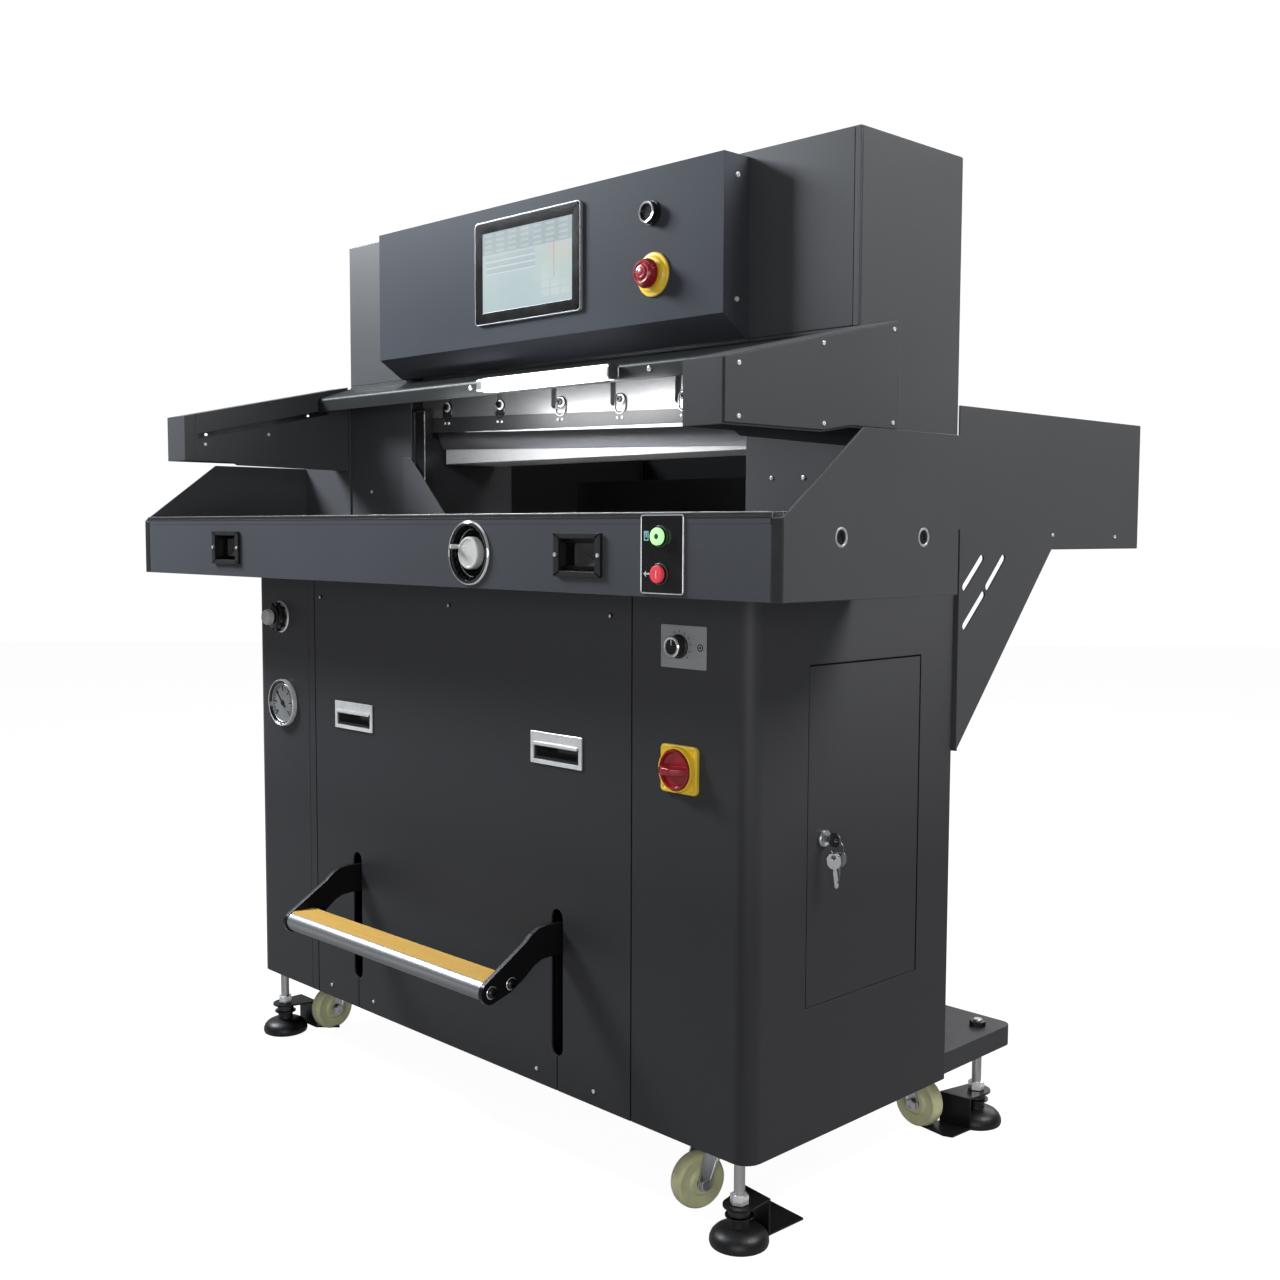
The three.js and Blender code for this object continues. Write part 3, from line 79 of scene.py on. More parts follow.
# Choosing and moving pieces.
def deselectAll():
    if bpy.context.mode != "OBJECT":
        bpy.ops.object.mode_set(mode="OBJECT")
    bpy.ops.object.select_all(action="DESELECT")


def pick(*pieces):
    deselectAll()
    for piece in pieces:
        piece.select_set(True)
    bpy.context.view_layer.objects.active = pieces[0]


def settle(name):
    # The piece that was just made gets its name, and its place goes into its mesh.
    made = bpy.context.active_object
    pick(made)
    bpy.ops.object.transform_apply(location=True, rotation=True, scale=True)
    made.name = made.data.name = name
    return made


def about(spot, degrees, axis="Y"):
    # Takes a piece modelled at home to its spot, turned about one axis.
    turn = Matrix.Rotation(math.radians(degrees), 4, axis)
    return Matrix.Translation(at(*spot)) @ turn @ Matrix.Translation(-home)


def move(piece, matrix):
    piece.matrix_world = matrix
    pick(piece)
    return settle(piece.name)


def discard(*pieces):
    for piece in pieces:
        bpy.data.objects.remove(piece)


def placeCopy(master, name, matrix):
    pick(master)
    bpy.ops.object.duplicate()
    bpy.context.active_object.matrix_world = matrix
    return settle(name)


def ringOf(master, spot, angles):
    # Copies of a piece modelled at home, turned to each angle. The piece itself goes.
    copies = [placeCopy(master, master.name, about(spot, angle)) for angle in angles]
    discard(master)
    return copies


def copiesOf(master, spots):
    # Copies of a piece modelled at home, one at each spot. The piece itself goes.
    copies = [placeCopy(master, master.name, about(spot, 0)) for spot in spots]
    discard(master)
    return copies


def joinPieces(name, *pieces):
    pick(*pieces)
    if len(pieces) > 1:
        bpy.ops.object.join()
    made = bpy.context.active_object
    made.name = made.data.name = name
    return made


def mirrored(sign, points):
    # The same points on the right (1) or the left (-1).
    return [(sign * x, y, z) for x, y, z in points]


# Making pieces.
def addBlock(name, low, high):
    deselectAll()
    first, last = at(*low), at(*high)
    bpy.ops.mesh.primitive_cube_add(size=1, location=(first + last) / 2, scale=last - first)
    return settle(name)


def addRod(name, start, end, radius, sides=32):
    # A round bar from start to end.
    deselectAll()
    first, last = at(*start), at(*end)
    line = last - first
    bpy.ops.mesh.primitive_cylinder_add(
        vertices=sides,
        radius=radius * millimetre,
        depth=line.length,
        location=(first + last) / 2,
        rotation=line.to_track_quat("Z", "Y").to_euler(),
    )
    return settle(name)


def drawLine(points):
    # A pen line through points in metres, left in edit mode and all selected.
    deselectAll()
    bpy.ops.mesh.primitive_plane_add(size=0.01, location=points[0])
    bpy.ops.object.mode_set(mode="EDIT")
    bpy.ops.mesh.select_mode(type="VERT")
    bpy.ops.mesh.select_all(action="SELECT")
    bpy.ops.mesh.merge(type="CENTER")
    for first, second in zip(points, points[1:]):
        bpy.ops.mesh.extrude_region_move(TRANSFORM_OT_translate={"value": second - first})
    bpy.ops.mesh.select_all(action="SELECT")


def closeShape():
    bpy.ops.mesh.select_all(action="SELECT")
    bpy.ops.mesh.remove_doubles(threshold=0.000002)
    bpy.ops.mesh.normals_make_consistent(inside=False)
    bpy.ops.object.mode_set(mode="OBJECT")


def addTurned(name, profile, base, direction=forward, steps=32):
    # A profile of (radius, along) points spun round the line from base.
    axis = Vector(direction).normalized()
    side = axis.orthogonal().normalized()
    foot = at(*base)
    drawLine([foot + side * (r * millimetre) + axis * (a * millimetre) for r, a in profile])
    bpy.ops.mesh.spin(steps=steps, angle=2 * math.pi, center=foot, axis=axis)
    closeShape()
    return settle(name)


def addPlate(name, outline, thickness):
    # A closed outline of points, filled and extruded by a vector.
    drawLine([at(*point) for point in outline])
    bpy.ops.mesh.edge_face_add()
    bpy.ops.mesh.extrude_region_move(
        TRANSFORM_OT_translate={"value": Vector(thickness) * millimetre}
    )
    closeShape()
    return settle(name)


# Shaping pieces.
def openFaces(piece, chosen):
    # Edit mode with the faces for which chosen(centre, normal) is true.
    pick(piece)
    bpy.ops.object.mode_set(mode="EDIT")
    bpy.ops.mesh.select_mode(type="FACE")
    bpy.ops.mesh.select_all(action="DESELECT")
    shape = bmesh.from_edit_mesh(piece.data)
    for face in shape.faces:
        face.select = bool(chosen(face.calc_center_median(), face.normal))
    bmesh.update_edit_mesh(piece.data)


def insetFaces(piece, direction, *steps):
    # The faces that look in a direction. Each step is (thickness, depth); more depth stands out.
    wanted = Vector(direction)
    openFaces(piece, lambda centre, normal: normal.dot(wanted) > 0.9)
    for thickness, depth in steps:
        bpy.ops.mesh.inset(thickness=thickness * millimetre, depth=depth * millimetre)
    bpy.ops.object.mode_set(mode="OBJECT")
    return piece


def throughHole(piece, rim, squeeze=(1, 1, 1), centre=None):
    # A window from front to back: both faces inset, then bridged.
    openFaces(piece, lambda place, normal: abs(normal.y) > 0.9)
    bpy.ops.mesh.inset(thickness=rim * millimetre)
    if centre is not None:
        bpy.ops.transform.resize(value=squeeze, center_override=centre)
    bpy.ops.mesh.bridge_edge_loops()
    bpy.ops.mesh.select_all(action="SELECT")
    bpy.ops.mesh.normals_make_consistent(inside=False)
    bpy.ops.object.mode_set(mode="OBJECT")
    return piece


def bevelAlong(piece, axis, width, segments):
    # Rounds only the edges that run along an axis.
    pick(piece)
    bpy.ops.object.mode_set(mode="EDIT")
    bpy.ops.mesh.select_mode(type="EDGE")
    bpy.ops.mesh.select_all(action="DESELECT")
    shape = bmesh.from_edit_mesh(piece.data)
    for edge in shape.edges:
        line = (edge.verts[1].co - edge.verts[0].co).normalized()
        edge.select = abs(getattr(line, axis)) > 0.99
    bmesh.update_edit_mesh(piece.data)
    bpy.ops.mesh.bevel(offset=width * millimetre, segments=segments, affect="EDGES")
    bpy.ops.object.mode_set(mode="OBJECT")
    return piece


def bevelPiece(piece, width, segments=2):
    pick(piece)
    bevel = piece.modifiers.new("edge", "BEVEL")
    bevel.width = width * millimetre
    bevel.segments = segments
    bevel.limit_method = "ANGLE"
    bevel.angle_limit = math.radians(30)
    bpy.ops.object.modifier_apply(modifier=bevel.name)
    return piece


def smoothPiece(piece, angle=30):
    # Smooth shading with the large faces kept flat.
    pick(piece)
    bpy.ops.object.shade_smooth_by_angle(angle=math.radians(angle))
    flat = piece.modifiers.new("flat", "WEIGHTED_NORMAL")
    flat.keep_sharp = True
    flat.weight = 80
    bpy.ops.object.modifier_apply(modifier=flat.name)
    return piece


def edged(piece, width, segments=2):
    return smoothPiece(bevelPiece(piece, width, segments))


def cutAway(piece, *cutters):
    for cutter in cutters:
        pick(piece)
        cut = piece.modifiers.new("cut", "BOOLEAN")
        cut.operation = "DIFFERENCE"
        cut.solver = "EXACT"
        cut.object = cutter
        bpy.ops.object.modifier_apply(modifier=cut.name)
        discard(cutter)
    return piece


def addCup(name, low, high, wall, depth):
    # A block with a pocket in its front face.
    return bevelPiece(insetFaces(addBlock(name, low, high), forward, (wall, 0), (0.2, -depth)), 0.5)


def spread(count):
    # Evenly spaced angles of a full turn.
    return [360 / count * index for index in range(count)]


def curve(centre, radius, start, end, steps=7):
    angles = [math.radians(start + (end - start) * i / steps) for i in range(steps + 1)]
    return [(centre[0] + radius * math.cos(a), centre[1] + radius * math.sin(a)) for a in angles]


# Finishing pieces.
finishes = {}


def fit(piece, body, finish, stands=()):
    # A finished piece: its finish, the body it rides, and the CAD nodes it stands for.
    paint = finishes[finish]
    piece.data.materials.clear()
    piece.data.materials.append(paint.material)
    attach(piece, body)
    if stands:
        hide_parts(*stands)
    return piece


def fitRound(name, spot, profile, steps, body, finish, stands=()):
    # A turned piece that faces the operator.
    turned = addTurned(name, profile, spot, forward, steps)
    return fit(smoothPiece(turned, roundAngle), body, finish, stands)


class Wire:
    # A node's output that takes part in sums.
    def __init__(self, paint, socket):
        self.paint = paint
        self.socket = socket

    def sum(self, operation, first, second):
        return self.paint.node("ShaderNodeMath", {"operation": operation}, [first, second])

    def __add__(self, other):
        return self.sum("ADD", self, other)

    def __radd__(self, other):
        return self.sum("ADD", other, self)

    def __sub__(self, other):
        return self.sum("SUBTRACT", self, other)

    def __rsub__(self, other):
        return self.sum("SUBTRACT", other, self)

    def __mul__(self, other):
        return self.sum("MULTIPLY", self, other)

    def __rmul__(self, other):
        return self.sum("MULTIPLY", other, self)

    def __gt__(self, other):
        return self.sum("GREATER_THAN", self, other)

    def __lt__(self, other):
        return self.sum("LESS_THAN", self, other)

    def __mod__(self, other):
        return self.sum("FLOORED_MODULO", self, other)


class Paint:
    # The nodes of a new material, or of the world.
    def __init__(self, name, slot="", world=None):
        self.slot = slot
        self.material = world or bpy.data.materials.new(name)
        self.material.use_nodes = True
        self.tree = self.material.node_tree
        self.tree.nodes.clear()

    def node(self, kind, settings=None, inputs=None, output=0):
        made = self.tree.nodes.new(kind)
        for key, value in (settings or {}).items():
            if key == "stops":
                self.fillRamp(made.color_ramp, value)
            else:
                setattr(made, key, value)
        given = inputs.items() if isinstance(inputs, dict) else enumerate(inputs or [])
        for key, value in given:
            if isinstance(value, Wire):
                self.tree.links.new(value.socket, made.inputs[key])
            elif value is not None:
                made.inputs[key].default_value = value
        return Wire(self, made.outputs[output]) if len(made.outputs) else None

    def fillRamp(self, ramp, stops):
        while len(ramp.elements) < len(stops):
            ramp.elements.new(1)
        for element, (place, colour) in zip(ramp.elements, stops):
            element.position = place
            element.color = colour

    def spot(self, scale=(1, 1, 1)):
        # Object coordinates in metres, scaled.
        place = self.node("ShaderNodeTexCoord", output="Object")
        settings = {"vector_type": "POINT"}
        return self.node("ShaderNodeMapping", settings, {"Vector": place, "Scale": scale})

    def axes(self):
        place = self.spot()
        return [
            self.node("ShaderNodeSeparateXYZ", inputs=[place], output=index) for index in range(3)
        ]

    def noise(self, place, size, detail=2, roughness=0.5):
        # size is the grain in millimetres.
        inputs = {"Vector": place, "Scale": 1000 / size, "Detail": detail, "Roughness": roughness}
        return self.node("ShaderNodeTexNoise", inputs=inputs)

    def stretch(self, value, low, high, first=0, last=1):
        return self.node("ShaderNodeMapRange", {"clamp": True}, [value, low, high, first, last])

    def patches(self, place, size, detail=2):
        return self.stretch(self.noise(place, size, detail), 0.3, 0.7)

    def blend(self, share, first, second):
        inputs = {0: share, 6: first, 7: second}
        return self.node("ShaderNodeMix", {"data_type": "RGBA"}, inputs, output=2)

    def bump(self, height, strength, depth):
        inputs = {"Height": height, "Strength": strength, "Distance": depth * millimetre}
        return self.node("ShaderNodeBump", inputs=inputs)

    def surface(self, **sockets):
        named = {key.replace("_", " "): value for key, value in sockets.items()}
        shader = self.node("ShaderNodeBsdfPrincipled", inputs=named)
        self.node("ShaderNodeOutputMaterial", inputs={"Surface": shader})
        return self


def tone(colour, share=1.0):
    return (colour[0] * share, colour[1] * share, colour[2] * share, 1)


def makeCoat(name, slot, look):
    # Baked powder: a broad drift of tone, an orange-peel skin and a few duller patches.
    paint = Paint(name, slot)
    place = paint.spot()
    grain = paint.noise(place, look["grain"], 2, 0.6)
    cloud = paint.noise(place, look["patch"] / 4, 4)
    drift = paint.patches(place, look["patch"], 3)
    pale, deep = tone(look["colour"], 1 + look["drift"]), tone(look["colour"], 1 - look["drift"])
    base = paint.blend(drift, deep, pale)
    if "above" in look:
        # Painted light: paler towards the apron, and over the table as pale as the head.
        height, head = look["above"]
        _, _, up = paint.axes()
        base = paint.blend(paint.stretch(up, *look["dust"]), base, tone(look["colour"], 2.4))
        base = paint.blend(up > height, base, tone(head))
    fleck = paint.stretch(grain, 0.35, 0.65)
    return paint.surface(
        Base_Color=paint.blend(fleck * 0.18, base, tone(look["colour"], 1.5)),
        Roughness=look["roughness"] + (cloud - 0.5) * look["spread"] + (fleck - 0.5) * 0.04,
        Metallic=0.0,
        Specular_IOR_Level=look["shine"],
        Normal=paint.bump(grain, look["bump"], look["depth"]),
    )


def makeBrushed(name, colour, grain, roughness, bump, metallic, along):
    # Drawn or brushed metal: long fine scratches along one axis.
    paint = Paint(name, "bright_steel")
    stretched = tuple(0.02 if axis == along else 1 for axis in "xyz")
    scratch = paint.noise(paint.spot(stretched), grain, 4, 0.65)
    patch = paint.noise(paint.spot(), 60, 3)
    line = paint.stretch(scratch, 0.3, 0.7)
    base = paint.blend(line, tone(colour, 0.82), tone(colour, 1.1))
    return paint.surface(
        Base_Color=paint.blend(paint.stretch(patch, 0.35, 0.7) * 0.1, base, tone(colour, 0.8)),
        Roughness=roughness + (line - 0.5) * 0.12 + (patch - 0.5) * 0.05,
        Metallic=metallic,
        Normal=paint.bump(scratch, bump, 0.05),
    )


def makeBright(name, slot, colour, roughness, hazy, bump, metallic):
    # Plated metal: nearly a mirror, with faint haze.
    paint = Paint(name, slot)
    place = paint.spot()
    haze = paint.stretch(paint.noise(place, 14, 4), 0.4, 0.75)
    return paint.surface(
        Base_Color=paint.blend(haze, tone(colour), tone(colour, 0.8)),
        Roughness=roughness + haze * hazy,
        Metallic=metallic,
        Normal=paint.bump(paint.noise(place, 5, 2), bump, 0.05),
    )


def makeMoulded(name, slot, colour, grain, roughness, gloss, bump):
    # Moulded plastic or rubber: an even skin with a fine spark-eroded grain.
    paint = Paint(name, slot)
    place = paint.spot()
    skin = paint.noise(place, grain, 2, 0.6)
    patch = paint.patches(place, 25, 3)
    return paint.surface(
        Base_Color=paint.blend(patch, tone(colour, 0.88), tone(colour, 1.12)),
        Roughness=roughness + (skin - 0.5) * 0.1 + (patch - 0.5) * 0.05,
        Metallic=0.0,
        Coat_Weight=gloss,
        Coat_Roughness=0.12,
        Specular_IOR_Level=0.35,
        Normal=paint.bump(skin, bump, 0.08),
    )


def makeGlow(name, slot, colour, strength):
    # A lit cover with a faint mottle from the diffuser.
    paint = Paint(name, slot)
    mottle = paint.patches(paint.spot(), 8)
    lit = paint.blend(mottle, tone(colour, 0.94), tone(colour))
    return paint.surface(
        Base_Color=lit,
        Roughness=0.3 + (mottle - 0.5) * 0.08,
        Emission_Color=lit,
        Emission_Strength=strength,
        Normal=paint.bump(mottle, 0.05, 0.05),
    )


def makeTread(name, slot, colour, pale, grain, roughness):
    # Ochre grip strip: worn paler on the ribs, dusty between them.
    paint = Paint(name, slot)
    grit = paint.noise(paint.spot(), grain, 3, 0.7)
    streak = paint.noise(paint.spot((0.05, 1, 1)), 5, 3)
    worn = paint.stretch(streak, 0.35, 0.7)
    base = paint.blend(worn, tone(colour, 0.95), tone(colour, 1.05))
    return paint.surface(
        Base_Color=paint.blend(paint.stretch(grit, 0.45, 0.75) * 0.35, base, tone(pale)),
        Roughness=roughness + (grit - 0.5) * 0.2,
        Metallic=0.0,
        Specular_IOR_Level=0.15,
        Normal=paint.bump(grit, 0.5, 0.25),
    )


def makeThread(name, slot, colour, pitch, roughness):
    # Rolled thread: fine rings up the rod, darker in the roots.
    paint = Paint(name, slot)
    _, _, up = paint.axes()
    turn = (up * (1000 / pitch)) % 1.0
    ridge = paint.node("ShaderNodeMath", {"operation": "PINGPONG"}, [turn, 0.5]) * 2
    patch = paint.noise(paint.spot(), 12, 3)
    return paint.surface(
        Base_Color=paint.blend(ridge, tone(colour, 0.72), tone(colour)),
        Roughness=roughness + (patch - 0.5) * 0.05,
        Metallic=0.8,
        Normal=paint.bump(ridge, 0.35, 0.3),
    )


def makePipe(name, slot, dark, pale, worn, change):
    # The pedal's pipe: dark below and brighter above as painted shade and painted light, with
    # streaks along it.
    paint = Paint(name, slot)
    streak = paint.patches(paint.spot((0.015, 1, 1)), 3, 3)
    _, _, up = paint.axes()
    upper = paint.stretch(up, *change)
    base = paint.blend(upper, tone(dark), tone(pale))
    return paint.surface(
        Base_Color=paint.blend(streak * 0.45, base, tone(worn)),
        Roughness=0.3 - upper * 0.06 + streak * 0.1,
        Metallic=0.8,
        Normal=paint.bump(streak, 0.2, 0.1),
    )


# One paint in several tones: the lower covers are darker than the head, apron, box and guards, as
# painted shade below and painted light above.
headTone = (0.056, 0.0575, 0.062)
coatLook = {
    "colour": (0.058, 0.0615, 0.071), "drift": 0.06, "patch": 420, "grain": 1.3, "bump": 0.22,
    "depth": 0.12, "roughness": 0.43, "spread": 0.1, "shine": 0.18,
}
darkLook = {
    "colour": (0.022, 0.023, 0.026), "drift": 0.1, "patch": 200, "grain": 1.1, "bump": 0.2,
    "depth": 0.1, "roughness": 0.4, "spread": 0.12,
}
beamLook = {
    "colour": (0.036, 0.037, 0.041), "drift": 0.08, "patch": 260, "grain": 1.6, "bump": 0.3,
    "depth": 0.15, "roughness": 0.46,
}
ironLook = {
    "colour": (0.014, 0.0145, 0.016), "drift": 0.16, "patch": 120, "grain": 3.5, "bump": 0.6,
    "depth": 0.4, "roughness": 0.5, "spread": 0.16,
}
# The lower covers are painted paler towards the apron and as pale as the head over the table:
# painted light.
charcoalLook = {
    "colour": (0.0275, 0.028, 0.0305), "drift": 0.07, "above": (0.87, headTone),
    "dust": (0.42, 0.78),
}
seamAndShadeLook = {"colour": (0.003, 0.003, 0.0034), "roughness": 0.7, "shine": 0.04}
for name, slot, look in (
    ("charcoal", "charcoal_paint", charcoalLook),
    ("slate", "charcoal_paint", {}),
    ("boxCoat", "charcoal_paint", {"colour": (0.052, 0.056, 0.067), "shine": 0.04}),
    ("graphite", "charcoal_paint", {"colour": headTone, "shine": 0.2}),
    ("darkCoat", "dark_paint", darkLook),
    ("beamCoat", "dark_paint", beamLook),
    ("ironCoat", "cast_iron", ironLook),
    # A near-black coat for dark joints, and for sheets of painted shade inside the rear guard.
    ("linerCoat", "dark_paint", darkLook | seamAndShadeLook),
    # The canopy's darker tone is painted shade under the head.
    ("canopyCoat", "charcoal_paint", darkLook | {"colour": (0.017, 0.019, 0.019), "shine": 0.1}),
    ("glossCoat", "dark_paint", darkLook | {"colour": (0.008, 0.008, 0.009), "roughness": 0.3}),
):
    finishes[name] = makeCoat(name, slot, coatLook | look)
# Each steel: colour, grain, roughness, bump, metallic, and the axis that it is brushed along.
for name, *look in (
    ("brushed", (0.42, 0.43, 0.445), 0.7, 0.3, 0.25, 1.0, "x"),
    ("tableSteel", (0.16, 0.163, 0.17), 0.7, 0.34, 0.15, 1.0, "x"),
    ("clampSteel", (0.7, 0.705, 0.72), 0.6, 0.32, 0.12, 0.25, "x"),
    ("darkSteel", (0.15, 0.152, 0.16), 0.9, 0.38, 0.3, 0.5, "x"),
    ("keySteel", (0.17, 0.175, 0.18), 0.7, 0.3, 0.25, 1.0, "z"),
    ("zinc", (0.56, 0.57, 0.58), 4, 0.34, 0.2, 1.0, "z"),
    ("barSteel", (0.17, 0.172, 0.177), 0.7, 0.34, 0.2, 0.62, "x"),
    ("screwSteel", (0.8, 0.8, 0.8), 2, 0.3, 0.1, 0.4, "z"),
    ("trimSteel", (0.4, 0.41, 0.43), 1, 0.36, 0.1, 0.3, "z"),
    ("bandSteel", (0.045, 0.046, 0.048), 0.6, 0.42, 0.15, 0.6, "x"),
    # The next steel is the bright line along the table's front edge, a painted highlight.
    ("wornEdge", (0.62, 0.63, 0.65), 0.6, 0.3, 0.1, 1.0, "x"),
    ("plateSilver", (0.4, 0.405, 0.42), 0.7, 0.42, 0.15, 0.1, "x"),
):
    finishes[name] = makeBrushed(name, *look)
# Each plated metal: slot, colour, roughness, haze, bump, metallic.
for name, *look in (
    ("chrome", "chrome", (0.86, 0.87, 0.88), 0.09, 0.12, 0.05, 0.6),
    ("handleSteel", "chrome", (0.93, 0.94, 0.95), 0.09, 0.12, 0.05, 0.2),
    ("blackBolt", "dark_paint", (0.05, 0.05, 0.055), 0.28, 0.2, 0.1, 1.0),
):
    finishes[name] = makeBright(name, *look)
# Each moulding: slot, colour, grain, roughness, gloss, bump.
for name, *look in (
    ("blackPlastic", "black_plastic", (0.011, 0.011, 0.012), 0.8, 0.4, 0.0, 0.3),
    ("glossPlastic", "black_plastic", (0.008, 0.008, 0.009), 2.5, 0.16, 0.3, 0.05),
    ("rubber", "rubber", (0.005, 0.005, 0.0055), 1.2, 0.42, 0.0, 0.4),
    ("nylon", "nylon", (0.70, 0.70, 0.42), 2.0, 0.42, 0.0, 0.2),
    ("creamPlastic", "grey_plastic", (0.62, 0.62, 0.6), 1.2, 0.35, 0.1, 0.15),
    ("yellowPlastic", "yellow_plastic", (0.95, 0.64, 0.05), 1.5, 0.36, 0.2, 0.12),
    ("redPlastic", "red_plastic", (0.34, 0.01, 0.018), 1.5, 0.3, 0.4, 0.1),
    ("stickPlastic", "stick_plastic", (0.72, 0.66, 0.52), 2.5, 0.5, 0.0, 0.3),
    ("greyPlastic", "grey_plastic", (0.05, 0.05, 0.053), 1.2, 0.42, 0.0, 0.2),
    ("gaugeFace", "grey_plastic", (0.24, 0.245, 0.25), 2.0, 0.5, 0.0, 0.05),
    ("markInk", "grey_plastic", (0.28, 0.5, 0.52), 1.5, 0.5, 0.0, 0.05),
):
    finishes[name] = makeMoulded(name, *look)
# Each lit cover: slot, colour, strength.
for name, *look in (
    ("lampGlow", "lamp_cover", (1.0, 1.0, 1.0), 2.6),
    ("spotGlow", "lamp_cover", (1.0, 1.0, 1.0), 1.2),
    ("greenGlow", "green_plastic", (0.42, 0.95, 0.36), 0.85),
    ("redGlow", "red_plastic", (0.75, 0.05, 0.08), 0.35),
):
    finishes[name] = makeGlow(name, *look)
treadLook = {
    "colour": (0.5, 0.29, 0.045), "pale": (0.62, 0.42, 0.13), "grain": 1.2, "roughness": 0.6,
}
finishes["treadOchre"] = makeTread("treadOchre", "yellow_plastic", **treadLook)
threadLook = {"colour": (0.5, 0.5, 0.5), "pitch": 1.5, "roughness": 0.28}
finishes["threadSteel"] = makeThread("threadSteel", "bright_steel", **threadLook)
# The pipe's dark lower half and pale upper half are painted shade and painted light.
pipeTones = {
    "dark": (0.03, 0.03, 0.033), "pale": (0.42, 0.43, 0.45), "worn": (0.2, 0.2, 0.21),
    "change": (0.266, 0.281),
}
finishes["pipeSteel"] = makePipe("pipeSteel", "chrome", **pipeTones)
print("finishes made:", len(finishes))

# Sheet metal and castings keep the CAD's shape. Each gets its edge's width and its finish.
skins = {
    "base_frame": (2.0, "beamCoat"),
    "left_cover": (1.0, "charcoal"),
    "right_cover": (1.0, "charcoal"),
    "front_panel": (0.8, "charcoal"),
    "rear_panel": (0.8, "charcoal"),
    "front_apron": (0.9, "slate"),
    "side_guard_left": (1.0, "graphite"),
    "side_guard_right": (1.0, "graphite"),
    "curtain_arm_left": (1.2, "graphite"),
    "curtain_arm_right": (1.2, "graphite"),
    "top_canopy": (0.8, "canopyCoat"),
    "head_cover": (1.6, "graphite"),
    "control_box": (1.6, "boxCoat"),
    "main_frame": (2.0, "ironCoat"),
    "clamp_beam": (1.2, "clampSteel"),
    "knife_blade": (0.15, "darkSteel"),
    "knife_hanger": (1.0, "ironCoat"),
    "knife_cylinder": (1.0, "darkCoat"),
    "work_table": (1.2, "tableSteel"),
    "cutting_stick": (0.4, "stickPlastic"),
    "back_gauge": (1.2, "glossCoat"),
    "leadscrew": (1.0, "brushed"),
    "rear_guard": (1.0, "graphite"),
    "rear_bracket_left": (1.4, "graphite"),
    "rear_bracket_right": (1.4, "graphite"),
    "hydraulic_unit": (3.0, "darkCoat"),
    "side_door": (0.7, "charcoal"),
    "knife_bar": (0.8, "barSteel"),
}


def dressNode(node, width, finish):
    pick(frame["nodes"][node])
    bpy.ops.object.duplicate()
    skin = bpy.context.active_object
    skin.parent = None
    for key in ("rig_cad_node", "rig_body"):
        if key in skin:
            del skin[key]
    skin.name = skin.data.name = node + "Skin"
    bpy.ops.object.mode_set(mode="EDIT")
    bpy.ops.mesh.select_all(action="SELECT")
    bpy.ops.mesh.remove_doubles(threshold=0.000005)
    bpy.ops.mesh.dissolve_limited(angle_limit=math.radians(0.5))
    bpy.ops.object.mode_set(mode="OBJECT")
    return fit(edged(skin, width), frame["nodes"][node]["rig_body"], finish, [node])


dressed = {node: dressNode(node, *look) for node, look in skins.items()}
print("sheet metal dressed:", len(dressed), "pieces")

# Screws: radius, height and depth of socket. They face the operator until they are turned.
screwSizes = {"screw": (3.6, 1.7, 0.9), "tinyScrew": (2.6, 1.3, 0.7), "coreScrew": (2.3, 1.0, 0.4)}
masters = {}
for name, (radius, height, socket) in screwSizes.items():
    head = addRod(name + "Master", (0, 0.6, 0), (0, -height, 0), radius, 20)
    steps = (radius * 0.3, height * 0.2), (radius * 0.25, 0), (0.1, -socket)
    masters[name] = insetFaces(head, forward, *steps)


def scatter(name, master, spots, degrees, finish, body="machine"):
    # Copies of a master, each turned and put at its spot.
    copies = [placeCopy(masters[master], name, about(spot, degrees, "Z")) for spot in spots]
    return fit(smoothPiece(joinPieces(name, *copies)), body, finish)


highAcross = (-361, -18, 325)
columnSpots = [(427, 196, 950), (481, 196, 949), (-502, 196, 947)]
guardSpots = [(573.3, 665.7, 875.6), (570, 862.6, 872.6)]
backSpots = [(x, 420, z) for x in (-440, 0, 440) for z in (200, 480, 760)]
headBackSpots = [(x, 420, z) for x in (-520, 0, 520) for z in (1165, 1350)]
for name, master, degrees, finish, spots in (
    ("panelScrewsLow", "tinyScrew", 0, "screwSteel", [(x, 0, 132) for x in (-341, -221, 177, 294)]),
    ("panelScrewsHigh", "screw", 0, "blackBolt", [(x, 0, 770) for x in highAcross]),
    # Bright cores on the black panel screws are painted glints.
    ("panelScrewCores", "coreScrew", 0, "screwSteel", [(x, -1.2, 770) for x in highAcross]),
    ("columnScrews", "tinyScrew", 0, "screwSteel", columnSpots),
    ("boxScrewsRight", "screw", 90, "screwSteel", [(384, 171, z) for z in (1346, 1185)]),
    ("boxScrewsLeft", "screw", -90, "screwSteel", [(-398, 171, z) for z in (1346, 1185)]),
    ("guardScrewsRight", "tinyScrew", 90, "screwSteel", guardSpots),
    ("guardScrewsLeft", "tinyScrew", -90, "screwSteel", [(-x, y, z) for x, y, z in guardSpots]),
    ("backScrews", "screw", 180, "blackBolt", backSpots),
    ("headBackScrews", "screw", 180, "blackBolt", headBackSpots),
    ("canopyScrews", "screw", 0, "chrome", [(-131, 130, 1100), (263, 130, 1100)]),
):
    scatter(name, master, spots, degrees, finish)
print("fasteners placed")

